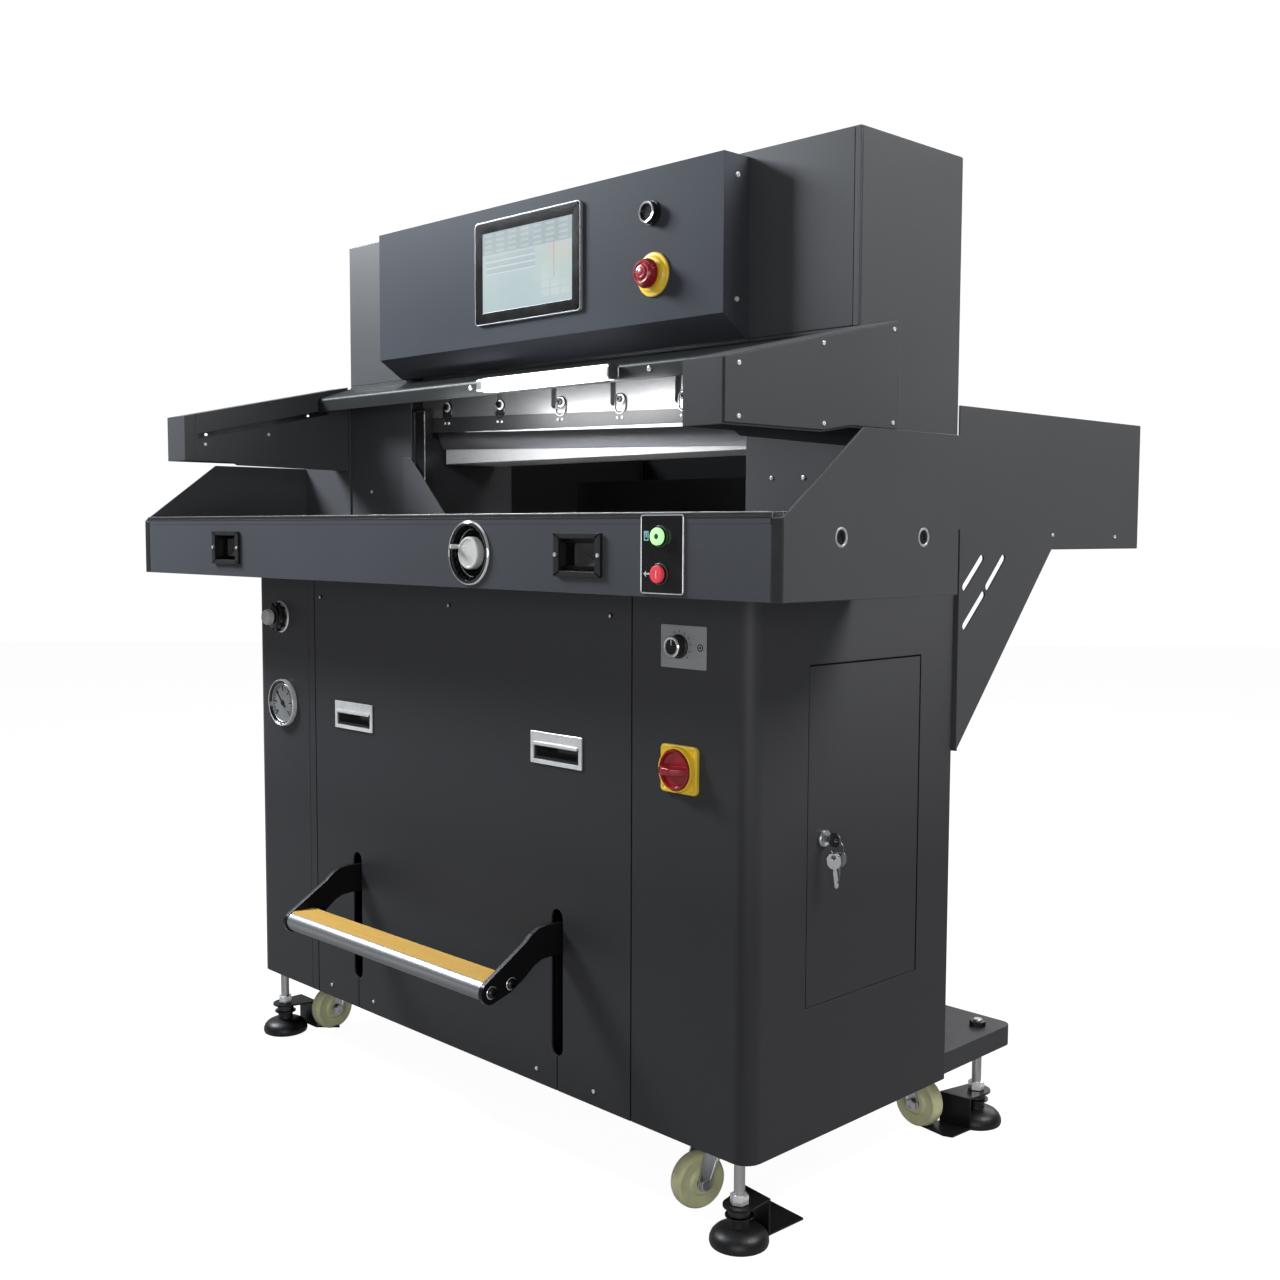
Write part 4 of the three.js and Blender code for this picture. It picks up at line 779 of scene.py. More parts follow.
# Front panel: the slit under each pedal slot, and the chrome handles over black cups.
panelLook = {
    "slits": (-263, 220), "slit": 2.4, "slitLow": 105, "slitHigh": 163,
    "handles": {"Left": -267, "Right": 219.5}, "half": 52, "low": 562, "high": 606, "rim": 6.2,
    "squeeze": 0.68, "lip": 45.6, "cup": 43.4, "cupLow": 570.6, "cupHigh": 597.4, "wall": 2.0,
}
reach = panelLook["slit"] / 2
slit = addBlock("slit", (-reach, -2, panelLook["slitLow"]), (reach, 6, panelLook["slitHigh"]))
slits = copiesOf(slit, [(x, 0, 0) for x in panelLook["slits"]])
smoothPiece(cutAway(dressed["front_panel"], *slits))
lipLine = [(-2.0, 593.5), (-4.6, 592.3), (-5.6, 590.2), (-4.8, 587.2), (-3.6, 589.6), (-2.0, 591.2)]
half, low, reach = panelLook["half"], panelLook["low"], panelLook["lip"]
flange = addBlock("flange", (-half, -2.8, low), (half, -0.3, panelLook["high"]))
centre = at(0, -1.5, low + panelLook["rim"])
throughHole(flange, panelLook["rim"], (1, 1, panelLook["squeeze"]), centre)
lip = addPlate("lip", [(-reach, y, z) for y, z in lipLine], (2 * reach, 0, 0))
flange = joinPieces("flange", bevelPiece(flange, 1.0, 3), bevelPiece(lip, 0.4))
cupLow = (-panelLook["cup"], -1.2, panelLook["cupLow"])
cupHigh = (panelLook["cup"], 21, panelLook["cupHigh"])
cup = addCup("cup", cupLow, cupHigh, panelLook["wall"], 20)
for side, x in panelLook["handles"].items():
    copy = placeCopy(flange, "handleFlange" + side, about((x, 0, 0), 0))
    fit(smoothPiece(copy), "machine", "handleSteel", ["panel_handle_" + side.lower()])
    copy = placeCopy(cup, "handleCup" + side, about((x, 0, 0), 0))
    fit(smoothPiece(copy), "machine", "glossPlastic")
discard(flange, cup)

# Dark joints between the panel and the covers, and over the door's top and rear edges a wider dark
# strip that is partly joint and partly painted shade.
seamLook = {
    "across": (-380.85, 364.2), "low": 113, "high": 804, "width": 1.6, "doorWidth": 2.0,
    "proud": 0.3, "side": 566,
}
proud, reach = seamLook["proud"], seamLook["width"] / 2
seam = addBlock("seam", (-reach, -proud, seamLook["low"]), (reach, -0.02, seamLook["high"]))
seams = copiesOf(seam, [(x, 0, 0) for x in seamLook["across"]])
doorLow, doorHigh = [(corner - home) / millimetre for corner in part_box("side_door")]
wide, inner, outer = seamLook["doorWidth"], seamLook["side"] + 0.02, seamLook["side"] + proud
rear, top = doorHigh.y + wide, doorHigh.z + wide
seams.append(addBlock("seam", (inner, doorLow.y, doorHigh.z - 0.3), (outer, rear, top)))
rearLow, rearHigh = (inner, doorHigh.y - 0.3, doorLow.z), (outer, rear, doorHigh.z - 0.4)
seams.append(addBlock("seam", rearLow, rearHigh))
fit(bevelPiece(joinPieces("darkSeamsAndDoorShade", *seams), 0.08, 1), "machine", "linerCoat")

# Isolator: a yellow plate with rounded corners and a red knob with a wedge across it.
isolatorLook = {
    "spot": (452, 0, 586), "steps": 48, "corner": 6,
    "low": (421, -4.6, 556), "high": (483, -0.3, 616),
    "rim": [
        (25.7, 4.6), (29, 4.6), (28.6, 10), (27.8, 12.2), (26.4, 12.4), (25.7, 11.4), (25.7, 4.6),
    ],
    "disc": [
        (0, -18), (8, -18), (8, 6.8), (24, 6.8), (25, 8), (25, 13), (24.2, 14.4), (22.6, 14.6),
        (21.4, 13.4), (20.6, 10.8), (18, 10.2), (0, 10.2),
    ],
    "grip": [
        (429.5, -9), (474.5, -9), (474, -14), (468, -24), (459, -30.4), (445, -30.4), (436, -24),
        (430, -14),
    ],
    "gripLow": 581, "gripThick": 10,
}
spot, steps = isolatorLook["spot"], isolatorLook["steps"]
plate = addBlock("isolatorPlate", isolatorLook["low"], isolatorLook["high"])
bevelAlong(plate, "y", isolatorLook["corner"], 4)
insetFaces(plate, forward, (1.2, 1.2), (3.0, 0), (1.0, -0.8))
fit(edged(plate, 0.4), "machine", "yellowPlastic", ["isolator_plate"])
fitRound("isolatorRim", spot, isolatorLook["rim"], steps, "machine", "yellowPlastic")
disc = addTurned("isolatorDisc", isolatorLook["disc"], spot, forward, steps)
gripLine = [(x, y, isolatorLook["gripLow"]) for x, y in isolatorLook["grip"]]
grip = bevelPiece(addPlate("isolatorGrip", gripLine, (0, 0, isolatorLook["gripThick"])), 2.2, 3)
knob = smoothPiece(joinPieces("isolatorKnob", disc, grip), roundAngle)
fit(knob, "isolator", "redPlastic", ["isolator_knob"])


def scaleAngles(look):
    return [look["sweep"] * (0.5 - i / (look["ticks"] - 1)) for i in range(look["ticks"])]


# Dial: a grey scale plate with ticks, and a black knob with a bright ring.
dialLook = {
    "spot": (449, 0, 738), "mark": (484, 0, 738), "tickFrom": 17, "tickTo": 20.5, "ticks": 11,
    "sweep": 270, "steps": 40, "low": (417, -1.2, 711), "high": (494, -0.2, 764),
    "markRing": [(3.4, 1.1), (4.6, 1.1), (4.6, 1.5), (3.4, 1.5), (3.4, 1.1)],
    "markDot": [(0, 1.1), (1.5, 1.1), (1.3, 1.6), (0, 1.6)],
    "pointer": ((448.4, -16.5, 740), (449.6, -15.8, 748)),
    "knob": [
        (0, -18), (6, -18), (6, 1.6), (14.6, 1.6), (15, 2.2), (15, 4), (13.2, 5.2), (12.6, 15),
        (11.5, 16), (0, 16),
    ],
    "ring": [(9.4, 15.4), (12.6, 14.6), (13, 15.8), (11.8, 17.2), (9.8, 16.8), (9.4, 15.4)],
}
plate = bevelAlong(addBlock("dialPlate", dialLook["low"], dialLook["high"]), "y", 2, 3)
fit(edged(plate, 0.2), "machine", "plateSilver")
tick = addBlock("tick", (-0.35, -1.5, dialLook["tickFrom"]), (0.35, -1.1, dialLook["tickTo"]))
ticks = ringOf(tick, dialLook["spot"], scaleAngles(dialLook))
fit(bevelPiece(joinPieces("dialTicks", *ticks), 0.08, 1), "machine", "blackPlastic")
markRing = addTurned("dialMark", dialLook["markRing"], dialLook["mark"], forward, 24)
markDot = addTurned("dialDot", dialLook["markDot"], dialLook["mark"], forward, 16)
fit(joinPieces("dialMark", markRing, markDot), "machine", "blackPlastic")
spot, steps = dialLook["spot"], dialLook["steps"]
fitRound("dialKnob", spot, dialLook["knob"], steps, "dial", "blackPlastic", ["dial_knob"])
ring = addTurned("dialRing", dialLook["ring"], spot, forward, steps)
pointer = addBlock("dialPointer", *dialLook["pointer"])
fit(smoothPiece(joinPieces("dialRing", ring, pointer), roundAngle), "dial", "chrome")

# Regulator: a chrome seat, a black body with lobes and a paler cap with fins.
regulatorLook = {
    "spot": (-486, 0, 733), "lobes": 9, "lobe": 4.4, "lobeReach": 20.5, "fins": 12,
    "lobeBack": -3.2, "lobeFront": -12.4, "fin": ((-1.1, -28, 11.8), (1.1, -20, 13.1)),
    "seat": [(12, 0.2), (26.6, 0.2), (26.8, 1.2), (25.4, 2.6), (12, 2.6), (12, 0.2)],
    "body": [
        (0, -18), (9, -18), (9, 3), (21.4, 3), (22, 4), (22, 9), (19.6, 11), (18.4, 14), (18.4, 16),
        (13, 17.5), (10, 18), (9, 20), (0, 20),
    ],
    "cap": [(0, 19), (11.6, 19), (12.4, 20), (12.4, 28.5), (11.2, 30.5), (6, 31.4), (0, 31.6)],
}
spot = regulatorLook["spot"]
fitRound("regulatorSeat", spot, regulatorLook["seat"], 40, "machine", "chrome")
body = addTurned("regulatorKnob", regulatorLook["body"], spot, forward, 40)
back, front = (0, regulatorLook["lobeBack"], 0), (0, regulatorLook["lobeFront"], 0)
lobe = bevelPiece(addRod("lobe", back, front, regulatorLook["lobe"], 16), 1.2)
angles = spread(regulatorLook["lobes"])
circle = curve(spot[::2], regulatorLook["lobeReach"], 0, angles[-1], len(angles) - 1)
lobes = copiesOf(lobe, [(x, 0, z) for x, z in circle])
knob = smoothPiece(joinPieces("regulatorKnob", body, *lobes), roundAngle)
fit(knob, "regulator", "glossPlastic", ["regulator_knob"])
cap = addTurned("regulatorCap", regulatorLook["cap"], spot, forward, 32)
fin = bevelPiece(addBlock("fin", *regulatorLook["fin"]), 0.3, 1)
fins = ringOf(fin, spot, spread(regulatorLook["fins"]))
fit(smoothPiece(joinPieces("regulatorCap", cap, *fins), roundAngle), "regulator", "creamPlastic")

# Pressure gauge: chrome bezel, pale face with a scale, needle and hub.
gaugeLook = {
    "spot": (-477, 0, 588), "steps": 64, "ticks": 25, "longEvery": 4, "sweep": 264, "needle": -48,
    "longTick": ((-1.0, -4.3, 20), (1.0, -3.6, 30)),
    "shortTick": ((-0.5, -4.3, 25), (0.5, -3.6, 30)),
    "needleLine": [(-2.2, -4.4, -10), (2.2, -4.4, -10), (0.7, -4.4, 26), (-0.7, -4.4, 26)],
    "hub": [(0, 3.8), (4.6, 3.8), (4.2, 5.8), (0, 6)],
    "bezel": [
        (0, -30), (32, -30), (32, 0.3), (39.6, 0.3), (40, 1), (40, 5), (39.4, 8), (38.4, 9),
        (37.5, 8.4), (37.2, 6.5), (36.8, 3), (0, 3),
    ],
    "dial": [(0, 3.1), (33.2, 3.1), (33.2, 3.7), (0, 3.9)],
    "ring": [(31.6, 3.6), (33.2, 3.6), (33.3, 4.6), (32.6, 5.2), (31.6, 4.4), (31.6, 3.6)],
    "well": [
        (33.3, 3.2), (36.7, 3.2), (37.1, 6.4), (37.4, 8), (36.9, 8.2), (33.6, 4.8), (33.3, 3.2),
    ],
}
spot, steps = gaugeLook["spot"], gaugeLook["steps"]
node = ["pressure_gauge"]
fitRound("gaugeBezel", spot, gaugeLook["bezel"], steps, "machine", "handleSteel", node)
fitRound("gaugeDial", spot, gaugeLook["dial"], steps, "machine", "gaugeFace")
angles = scaleAngles(gaugeLook)
longTick, shortTick = [addBlock("tick", *gaugeLook[tick]) for tick in ("longTick", "shortTick")]
scale = ringOf(longTick, spot, angles[:: gaugeLook["longEvery"]])
scale += ringOf(shortTick, spot, [a for i, a in enumerate(angles) if i % gaugeLook["longEvery"]])
needle = addPlate("needle", gaugeLook["needleLine"], (0, -0.6, 0))
move(needle, about(spot, gaugeLook["needle"]))
hub = addTurned("hub", gaugeLook["hub"], spot, forward, 24)
fit(smoothPiece(joinPieces("gaugeScale", *scale, needle, hub)), "machine", "blackPlastic")
fitRound("gaugeRing", spot, gaugeLook["ring"], steps, "machine", "trimSteel")
fitRound("gaugeWell", spot, gaugeLook["well"], steps, "machine", "glossPlastic")
print("front controls made")

# Two-hand recesses: a bezel with two silver screws, a black liner and a pad.
apronFront = -126
recessLook = {
    "left": -433.5, "right": 402.5, "z": 850.5, "half": 41.5, "tall": 26, "rim": 6.2, "screw": 37.6,
    "liner": (31.8, 19.8), "wall": 0.8, "depth": 35, "bore": 6.4,
    "pad": (23, 14), "padFront": 14, "padBack": 24, "stem": 6, "stemBack": 44,
}
(half, tall), depth = recessLook["liner"], recessLook["depth"]
liner = addCup("liner", (-half, -1.0, -tall), (half, depth, tall), recessLook["wall"], depth)
cutAway(liner, addRod("bore", (0, depth - 5, 0), (0, depth + 5, 0), recessLook["bore"], 24))
(half, tall), front = recessLook["pad"], recessLook["padFront"]
pad = addBlock("pad", (-half, front, -tall), (half, recessLook["padBack"], tall))
bevelPiece(insetFaces(bevelAlong(pad, "y", 4, 3), forward, (2.5, 0), (3, -1.4)), 0.8)
stem = addRod("stem", (0, 20, 0), (0, recessLook["stemBack"], 0), recessLook["stem"], 24)
pad = joinPieces("pad", pad, bevelPiece(stem, 0.6))
half, tall = recessLook["half"], recessLook["tall"]
for side in ("left", "right"):
    x, z = recessLook[side], recessLook["z"]
    low, high = (x - half, apronFront - 4.2, z - tall), (x + half, apronFront - 0.2, z + tall)
    bezel = bevelAlong(addBlock("recessBezel" + side.title(), low, high), "y", 3, 3)
    throughHole(bezel, recessLook["rim"], (0.9, 1, 1), at(x, apronFront - 2, z))
    fit(edged(bezel, 0.9), "machine", "blackPlastic")
    place = about((x, apronFront, z), 0)
    for name, master, body, finish, stands in (
        ("recessLiner", liner, "machine", "glossPlastic", ()),
        ("cutPad", pad, side + "_pad", "greyPlastic", ["cut_pad_" + side]),
    ):
        fit(smoothPiece(placeCopy(master, name + side.title(), place)), body, finish, stands)
discard(liner, pad)
screwSpots = [
    (recessLook[side] + reach, apronFront - 4.2, recessLook["z"])
    for side in ("left", "right")
    for reach in (-recessLook["screw"], recessLook["screw"])
]
scatter("recessScrews", "tinyScrew", screwSpots, 0, "chrome")

# Handwheel in its black cup. The thin chrome rings at the rim and inside the cup stand in for
# highlights on the black plastic: painted highlights.
wheelLook = {
    "spot": (193, apronFront, 850), "pin": (168, apronFront, 858), "steps": 64, "ribs": 24,
    "arm": ((168, apronFront - 2.5, 856.6), (193, apronFront + 3.5, 860)),
    "rib": ((30.9, -0.4, -0.4), (34.4, 12, 0.4)),
    "cup": [
        (6.6, -20.8), (33.6, -20.8), (34.3, -12), (34.7, 0.4), (35.6, 2.8), (38, 3.6), (40.4, 2.6),
        (41, 0.3), (34.95, 0.3), (34.95, -21.2), (6.6, -21.2), (6.6, -20.8),
    ],
    "rim": [
        (39.5, 2.6), (40.6, 0.3), (41.6, 0.3), (41.8, 1.3), (40.9, 3.1), (40, 3.6), (39.5, 2.6),
    ],
    "line": [(30.4, -7), (31.3, -7), (31.3, -6), (30.4, -6), (30.4, -7)],
    "disc": [
        (0, -30), (6, -30), (6, -8), (20.2, -8), (21, -7), (21, 1.6), (20, 3), (18, 3.2),
        (16.6, 2.4), (5, 2.2), (0, 2.4),
    ],
    "pinLine": [(0, -3.5), (3, -3.5), (3, 5), (2.4, 6), (3, 7), (3, 11), (2.2, 12), (0, 12)],
}
spot, steps = wheelLook["spot"], wheelLook["steps"]
fitRound("wheelCup", spot, wheelLook["cup"], steps, "machine", "glossPlastic")
rimLine = addTurned("wheelRimLine", wheelLook["rim"], spot, forward, steps)
cupLine = addTurned("cupLine", wheelLook["line"], spot, forward, 48)
ribs = ringOf(addBlock("rib", *wheelLook["rib"]), spot, spread(wheelLook["ribs"]))
fit(bevelPiece(joinPieces("cupRibs", *ribs), 0.15, 1), "machine", "glossPlastic")
fit(smoothPiece(joinPieces("wheelRimLine", rimLine, cupLine), roundAngle), "machine", "chrome")
disc = addTurned("handwheelDisc", wheelLook["disc"], spot, forward, 48)
crankArm = addBlock("crankArm", *wheelLook["arm"])
crankPin = addTurned("crankPin", wheelLook["pinLine"], wheelLook["pin"], forward, 24)
wheel = joinPieces("handwheelBody", disc, bevelPiece(crankArm, 1.2), crankPin)
fit(smoothPiece(wheel, roundAngle), "crank_wheel", "creamPlastic", ["handwheel"])

# Start and stop on a black plate with a silver border.
stackLook = {
    "x": 540, "start": 873, "stop": 831, "low": (509, 809), "high": (575, 897), "border": 1.3,
    "bar": ((539, 827), (541, 835)), "mark": ((514, 868), (521.5, 879)), "markRim": 1.6,
    "blade": ((516.6, 872), (519, 877.6)),
    "arrow": [
        (513.5, 831), (517.5, 834.5), (517.5, 832), (523, 832), (523, 830), (517.5, 830),
        (517.5, 827.5),
    ],
    "collar": [(10.7, 1.7), (12.4, 1.7), (12.6, 2.4), (12, 3.2), (10.7, 3.2), (10.7, 1.7)],
    "barrel": [
        (0, -18), (8, -18), (8, 3.7), (10, 3.7), (10.3, 4.2), (10.3, 4.8), (10, 5.2), (0, 5.2),
    ],
    "lens": [
        (0, 5.1), (9.7, 5.1), (9.9, 7.6), (9.5, 8.8), (8, 9.3), (4.6, 9.3), (3.6, 8.4), (0, 8.2),
    ],
    "eye": [(0, 8.1), (3.4, 8.1), (3.0, 8.7), (0, 8.8)],
}


def frontPlate(name, low, high, back, front, grow=0):
    # A flat block on the apron, between two distances in front of it.
    first = (low[0] - grow, apronFront - front, low[1] - grow)
    return addBlock(name, first, (high[0] + grow, apronFront - back, high[1] + grow))


plate = frontPlate("stackPlate", stackLook["low"], stackLook["high"], 0.2, 1.6)
fit(edged(bevelAlong(plate, "y", 3, 3), 0.3), "machine", "glossPlastic")
border = frontPlate("stackBorder", stackLook["low"], stackLook["high"], 0.1, 2.0, 0.4)
throughHole(bevelAlong(border, "y", 3.2, 3), stackLook["border"])
fit(edged(border, 0.2, 1), "machine", "chrome")
turned = {
    part: addTurned(part, stackLook[part], (0, 0, 0), forward, 40)
    for part in ("collar", "barrel", "lens")
}
for name, glow in (("start", "greenGlow"), ("stop", "redGlow")):
    place, push = about((stackLook["x"], apronFront, stackLook[name]), 0), name + "_push"
    for part, body, finish, stands in (
        ("collar", "machine", "greyPlastic", ()),
        ("barrel", push, "blackPlastic", [name + "_button"]),
        ("lens", push, glow, ()),
    ):
        copy = placeCopy(turned[part], name + part.title(), place)
        fit(smoothPiece(copy, roundAngle), body, finish, stands)
discard(*turned.values())
spot = (stackLook["x"], apronFront, stackLook["start"])
fitRound("startEye", spot, stackLook["eye"], 24, "start_push", "greyPlastic")
bar = frontPlate("stopBar", *stackLook["bar"], 8.3, 9.2)
fit(bevelPiece(bar, 0.3, 1), "stop_push", "creamPlastic")
markStart = frontPlate("startMark", *stackLook["mark"], 1.5, 1.9)
throughHole(markStart, stackLook["markRim"])
bladeMark = frontPlate("bladeMark", *stackLook["blade"], 1.5, 1.9)
fit(bevelPiece(joinPieces("startMark", markStart, bladeMark), 0.1, 1), "machine", "markInk")
arrowLine = [(x, apronFront - 1.5, z) for x, z in stackLook["arrow"]]
arrow = addPlate("stopMark", arrowLine, (0, -0.4, 0))
fit(bevelPiece(arrow, 0.08, 1), "machine", "creamPlastic")
print("apron controls made")

# Along the table's front edge: the apron's lip, a dark joint and a bright line that is a painted
# highlight.
edgeLook = {
    "half": 699.4, "lipLow": 887.2, "lipTop": 893.2, "joint": 1.5, "table": 900, "line": 1.1,
    "guard": ((701.2, 806), (714.5, 892.5)), "seal": ((566.3, 196.3, 904), (580, 198.2, 1126)),
}
half, lipTop, tableTop = edgeLook["half"], edgeLook["lipTop"], edgeLook["table"]
lip = frontPlate("apronLip", (-half, edgeLook["lipLow"]), (half, lipTop), -0.1, 0.28)
fit(edged(lip, 0.1, 1), "machine", "slate")
jointTop, lineLow = lipTop + edgeLook["joint"], tableTop - edgeLook["line"]
joint = frontPlate("apronJoint", (-half, lipTop - 0.4), (half, jointTop), 0.05, 0.45)
fit(bevelPiece(joint, 0.1, 1), "machine", "blackPlastic")
# The bright line is a painted highlight.
worn = frontPlate("tableLine", (-half, lineLow), (half, tableTop + 0.25), -1.2, 0.35)
fit(edged(worn, 0.3), "machine", "wornEdge")
sides = (("Right", 1), ("Left", -1))
for side, sign in sides:
    low, high = [(sign * x, z) for x, z in edgeLook["guard"]]
    edge = frontPlate("guardEdge" + side, low, high, 0.05, 0.6)
    fit(bevelPiece(edge, 0.2, 1), "machine", "blackPlastic")
    seal = addBlock("columnSeal" + side, *mirrored(sign, edgeLook["seal"]))
    fit(bevelPiece(seal, 0.3, 1), "machine", "rubber")

# Plugs in the side guards, let in flush.
plugLook = {
    "spots": [(-28.8, 873), (125, 873)], "x": 717, "hole": 11.5, "through": (708, 722),
    "ring": [(8.2, -3), (11.3, -3), (11.3, -0.6), (10.4, 0), (9, 0), (8.2, -0.8), (8.2, -3)],
    "cap": [(0, -6), (8.1, -6), (8.1, -1.4), (5.4, -1.4), (4.8, -3), (0, -3)],
}
for side, sign in sides:
    spots = [(0, y, z) for y, z in plugLook["spots"]]
    start, end = [(sign * x, 0, 0) for x in plugLook["through"]]
    hole = addRod("hole", start, end, plugLook["hole"])
    smoothPiece(cutAway(dressed["side_guard_" + side.lower()], *copiesOf(hole, spots)))
    for part, name, finish in (
        ("ring", "plugRings", "trimSteel"),
        ("cap", "plugCaps", "glossPlastic"),
    ):
        plug = addTurned(part, plugLook[part], (sign * plugLook["x"], 0, 0), (sign, 0, 0))
        plugs = joinPieces(name + side, *copiesOf(plug, spots))
        fit(smoothPiece(plugs, roundAngle), "machine", finish)

# Light-curtain arms: outer skins with screws, and a black slit with two lit windows inside.
armLook = {
    "inner": 570, "outer": 629, "skin": 1.6, "lipFace": 569.6, "slit": [(-96, 1035), (148, 1088)],
    "plate": [(-122.6, 996), (-122.6, 1064.6), (191, 1132.6), (191, 1004), (98, 1004), (46, 996)],
    "lip": [(-46, 996.4), (-30, 988), (192, 985), (192, 1004), (98, 1004), (46, 996.4)],
    "screws": [(-101, 1060), (-101, 1003), (44, 1094), (46, 1003), (180, 1123), (180, 1011)],
    "innerScrews": [(-88, 1021), (31, 1043)],
    "windows": ((-86, 1037.2, 2.2), (110, 1079.7, 1.9)),
    "joint": ((629.05, -124.4, 996), (629.9, -122.4, 1064)),
    "seam": ((570.6, -105.6, 990), (565, -104.4, 1080)),
    "strip": (2.7, 571.6, 1.6), "border": (4.4, 569.5, 0.45), "opening": (2.9, 567, 6),
}


def slitPlate(name, sign, part):
    # A strip along the slit, as far past its ends as it is high.
    high, x, thick = armLook[part]
    start, end = [Vector((0, *point)) for point in armLook["slit"]]
    along = (end - start).normalized()
    rise = Vector((0, -along.z, along.y))
    corners = [
        start - rise * high - along * high,
        end - rise * high + along * high,
        end + rise * high + along * high,
        start + rise * high - along * high,
    ]
    line = [(sign * x, corner.y, corner.z) for corner in corners]
    return addPlate(name, line, (sign * thick, 0, 0))


for side, sign in sides:
    outer, skin = armLook["outer"] + 0.1, armLook["skin"]
    line = [(sign * outer, y, z) for y, z in armLook["plate"]]
    plate = addPlate("armPlate" + side, line, (sign * skin, 0, 0))
    fit(edged(plate, 0.4), "machine", "graphite")
    spots = [(sign * (outer + skin), y, z) for y, z in armLook["screws"]]
    scatter("armScrews" + side, "tinyScrew", spots, sign * 90, "screwSteel")
    joint = addBlock("armJoint" + side, *mirrored(sign, armLook["joint"]))
    fit(bevelPiece(joint, 0.15, 1), "machine", "blackPlastic")
    strip = slitPlate("slitStrip" + side, sign, "strip")
    border = slitPlate("slitBorder", sign, "border")
    cutAway(border, slitPlate("slitOpening", sign, "opening"))
    strip = bevelPiece(joinPieces("slitStrip" + side, strip, border), 0.12, 1)
    fit(strip, "machine", "glossPlastic")
    windows = []
    for y, z, radius in armLook["windows"]:
        line = [(0, -2), (radius, -2), (radius, 0), (radius * 0.6, 0.7), (0, 0.8)]
        spot = (sign * armLook["inner"], y, z)
        windows.append(addTurned("window", line, spot, (-sign, 0, 0), 20))
    fit(smoothPiece(joinPieces("armWindows" + side, *windows), roundAngle), "machine", "spotGlow")
    spots = [(sign * armLook["inner"], y, z) for y, z in armLook["innerScrews"]]
    scatter("armInnerScrews" + side, "tinyScrew", spots, sign * -90, "screwSteel")
    line = [(sign * armLook["lipFace"], y, z) for y, z in armLook["lip"]]
    lip = addPlate("armLip" + side, line, (sign * skin, 0, 0))
    fit(edged(lip, 0.3), "machine", "graphite")
    seam = addBlock("armSeam", *mirrored(sign, armLook["seam"]))
    smoothPiece(cutAway(dressed["curtain_arm_" + side.lower()], seam))
print("guards and arms dressed")

# Head: the touchscreen, lit by a picture of plain shapes.
boxFront = 145
screenLook = {
    "bezel": ((-131, 1197), (110, 1351)), "trim": ((-132.2, 1195.8), (111.2, 1352.2)),
    "picture": ((-114, 1216), (93, 1334)), "glass": ((-114.4, 1213.6), (93.4, 1334.4)),
}


def screenBlock(name, part, front, back):
    # A flat block of the screen, between two distances in front of the box.
    (left, low), (right, high) = screenLook[part]
    return addBlock(name, (left, boxFront - front, low), (right, boxFront - back, high))


bezel = bevelAlong(screenBlock("screenBezel", "bezel", 5.3, 0.3), "y", 6, 4)
insetFaces(bezel, forward, (1.0, 0.4), (15.6, -0.6), (0.6, -1.6))
fit(edged(bezel, 0.3), "machine", "glossPlastic", ["touchscreen"])
trim = bevelAlong(screenBlock("screenTrim", "trim", 5.2, 0.2), "y", 7, 4)
fit(edged(throughHole(trim, 1.3), 0.3), "machine", "trimSteel")

ui = Paint("screenPicture", "screen")
across, _, up = ui.axes()
(left, low), (right, high) = screenLook["picture"]
across = ui.stretch(across, left * millimetre, right * millimetre)
up = ui.stretch(up, low * millimetre, high * millimetre)


def inBand(value, low, high):
    return (value > low) * (value < high)


picture = ui.blend(up, (0.52, 0.66, 0.68, 1), (0.60, 0.70, 0.73, 1))
header = inBand(up, 0.72, 1.0)
picture = ui.blend(header * 0.75, picture, (0.34, 0.42, 0.44, 1))
headerRow = inBand((up - 0.72) % 0.07, 0.018, 0.05) * header * inBand(across % 0.14, 0.02, 0.11)
picture = ui.blend(headerRow * 0.5, picture, (0.66, 0.72, 0.74, 1))
field = inBand(up, 0.46, 0.7) * inBand(across, 0.04, 0.6)
fieldRow = inBand((up - 0.46) % 0.08, 0.012, 0.068) * field
picture = ui.blend(fieldRow * 0.4, picture, (0.38, 0.47, 0.5, 1))
fieldLine = inBand((up - 0.46) % 0.08, 0.0, 0.012) * field
picture = ui.blend(fieldLine * 0.7, picture, (0.9, 0.92, 0.93, 1))
keys = inBand(across, 0.66, 0.98) * inBand(up, 0.06, 0.7)
cell = inBand((across - 0.66) % 0.107, 0.008, 0.099) * inBand((up - 0.06) % 0.107, 0.01, 0.097)
keyStops = [
    (0.0, (0.62, 0.72, 0.74, 1)),
    (0.2, (0.78, 0.80, 0.74, 1)),
    (0.42, (0.55, 0.70, 0.52, 1)),
    (0.6, (0.82, 0.62, 0.42, 1)),
    (0.85, (0.62, 0.60, 0.55, 1)),
]
keyPlace = up * 0.75 + (across - 0.66) * 0.6
keyTint = ui.node("ShaderNodeValToRGB", {"stops": keyStops}, [keyPlace])
picture = ui.blend(keys * cell * 0.5, picture, keyTint)
redLine = inBand(across, 0.80, 0.812) * inBand(up, 0.3, 0.8)
picture = ui.blend(redLine * 0.45, picture, (0.7, 0.16, 0.13, 1))
haze = ui.patches(ui.spot(), 90, 3)
picture = ui.blend(haze * 0.35, picture, (0.70, 0.78, 0.80, 1))
finishes["screenPicture"] = ui.surface(
    Base_Color=ui.blend(haze, (0.02, 0.02, 0.022, 1), (0.03, 0.03, 0.033, 1)),
    Roughness=haze * 0.06 + 0.08,
    Emission_Color=picture,
    Emission_Strength=0.85,
    Normal=ui.bump(haze, 0.01, 0.05),
)
glass = insetFaces(screenBlock("screenGlass", "glass", 4.0, 2.6), forward, (0.4, 0.2))
fit(bevelPiece(glass, 0.1, 1), "machine", "screenPicture")

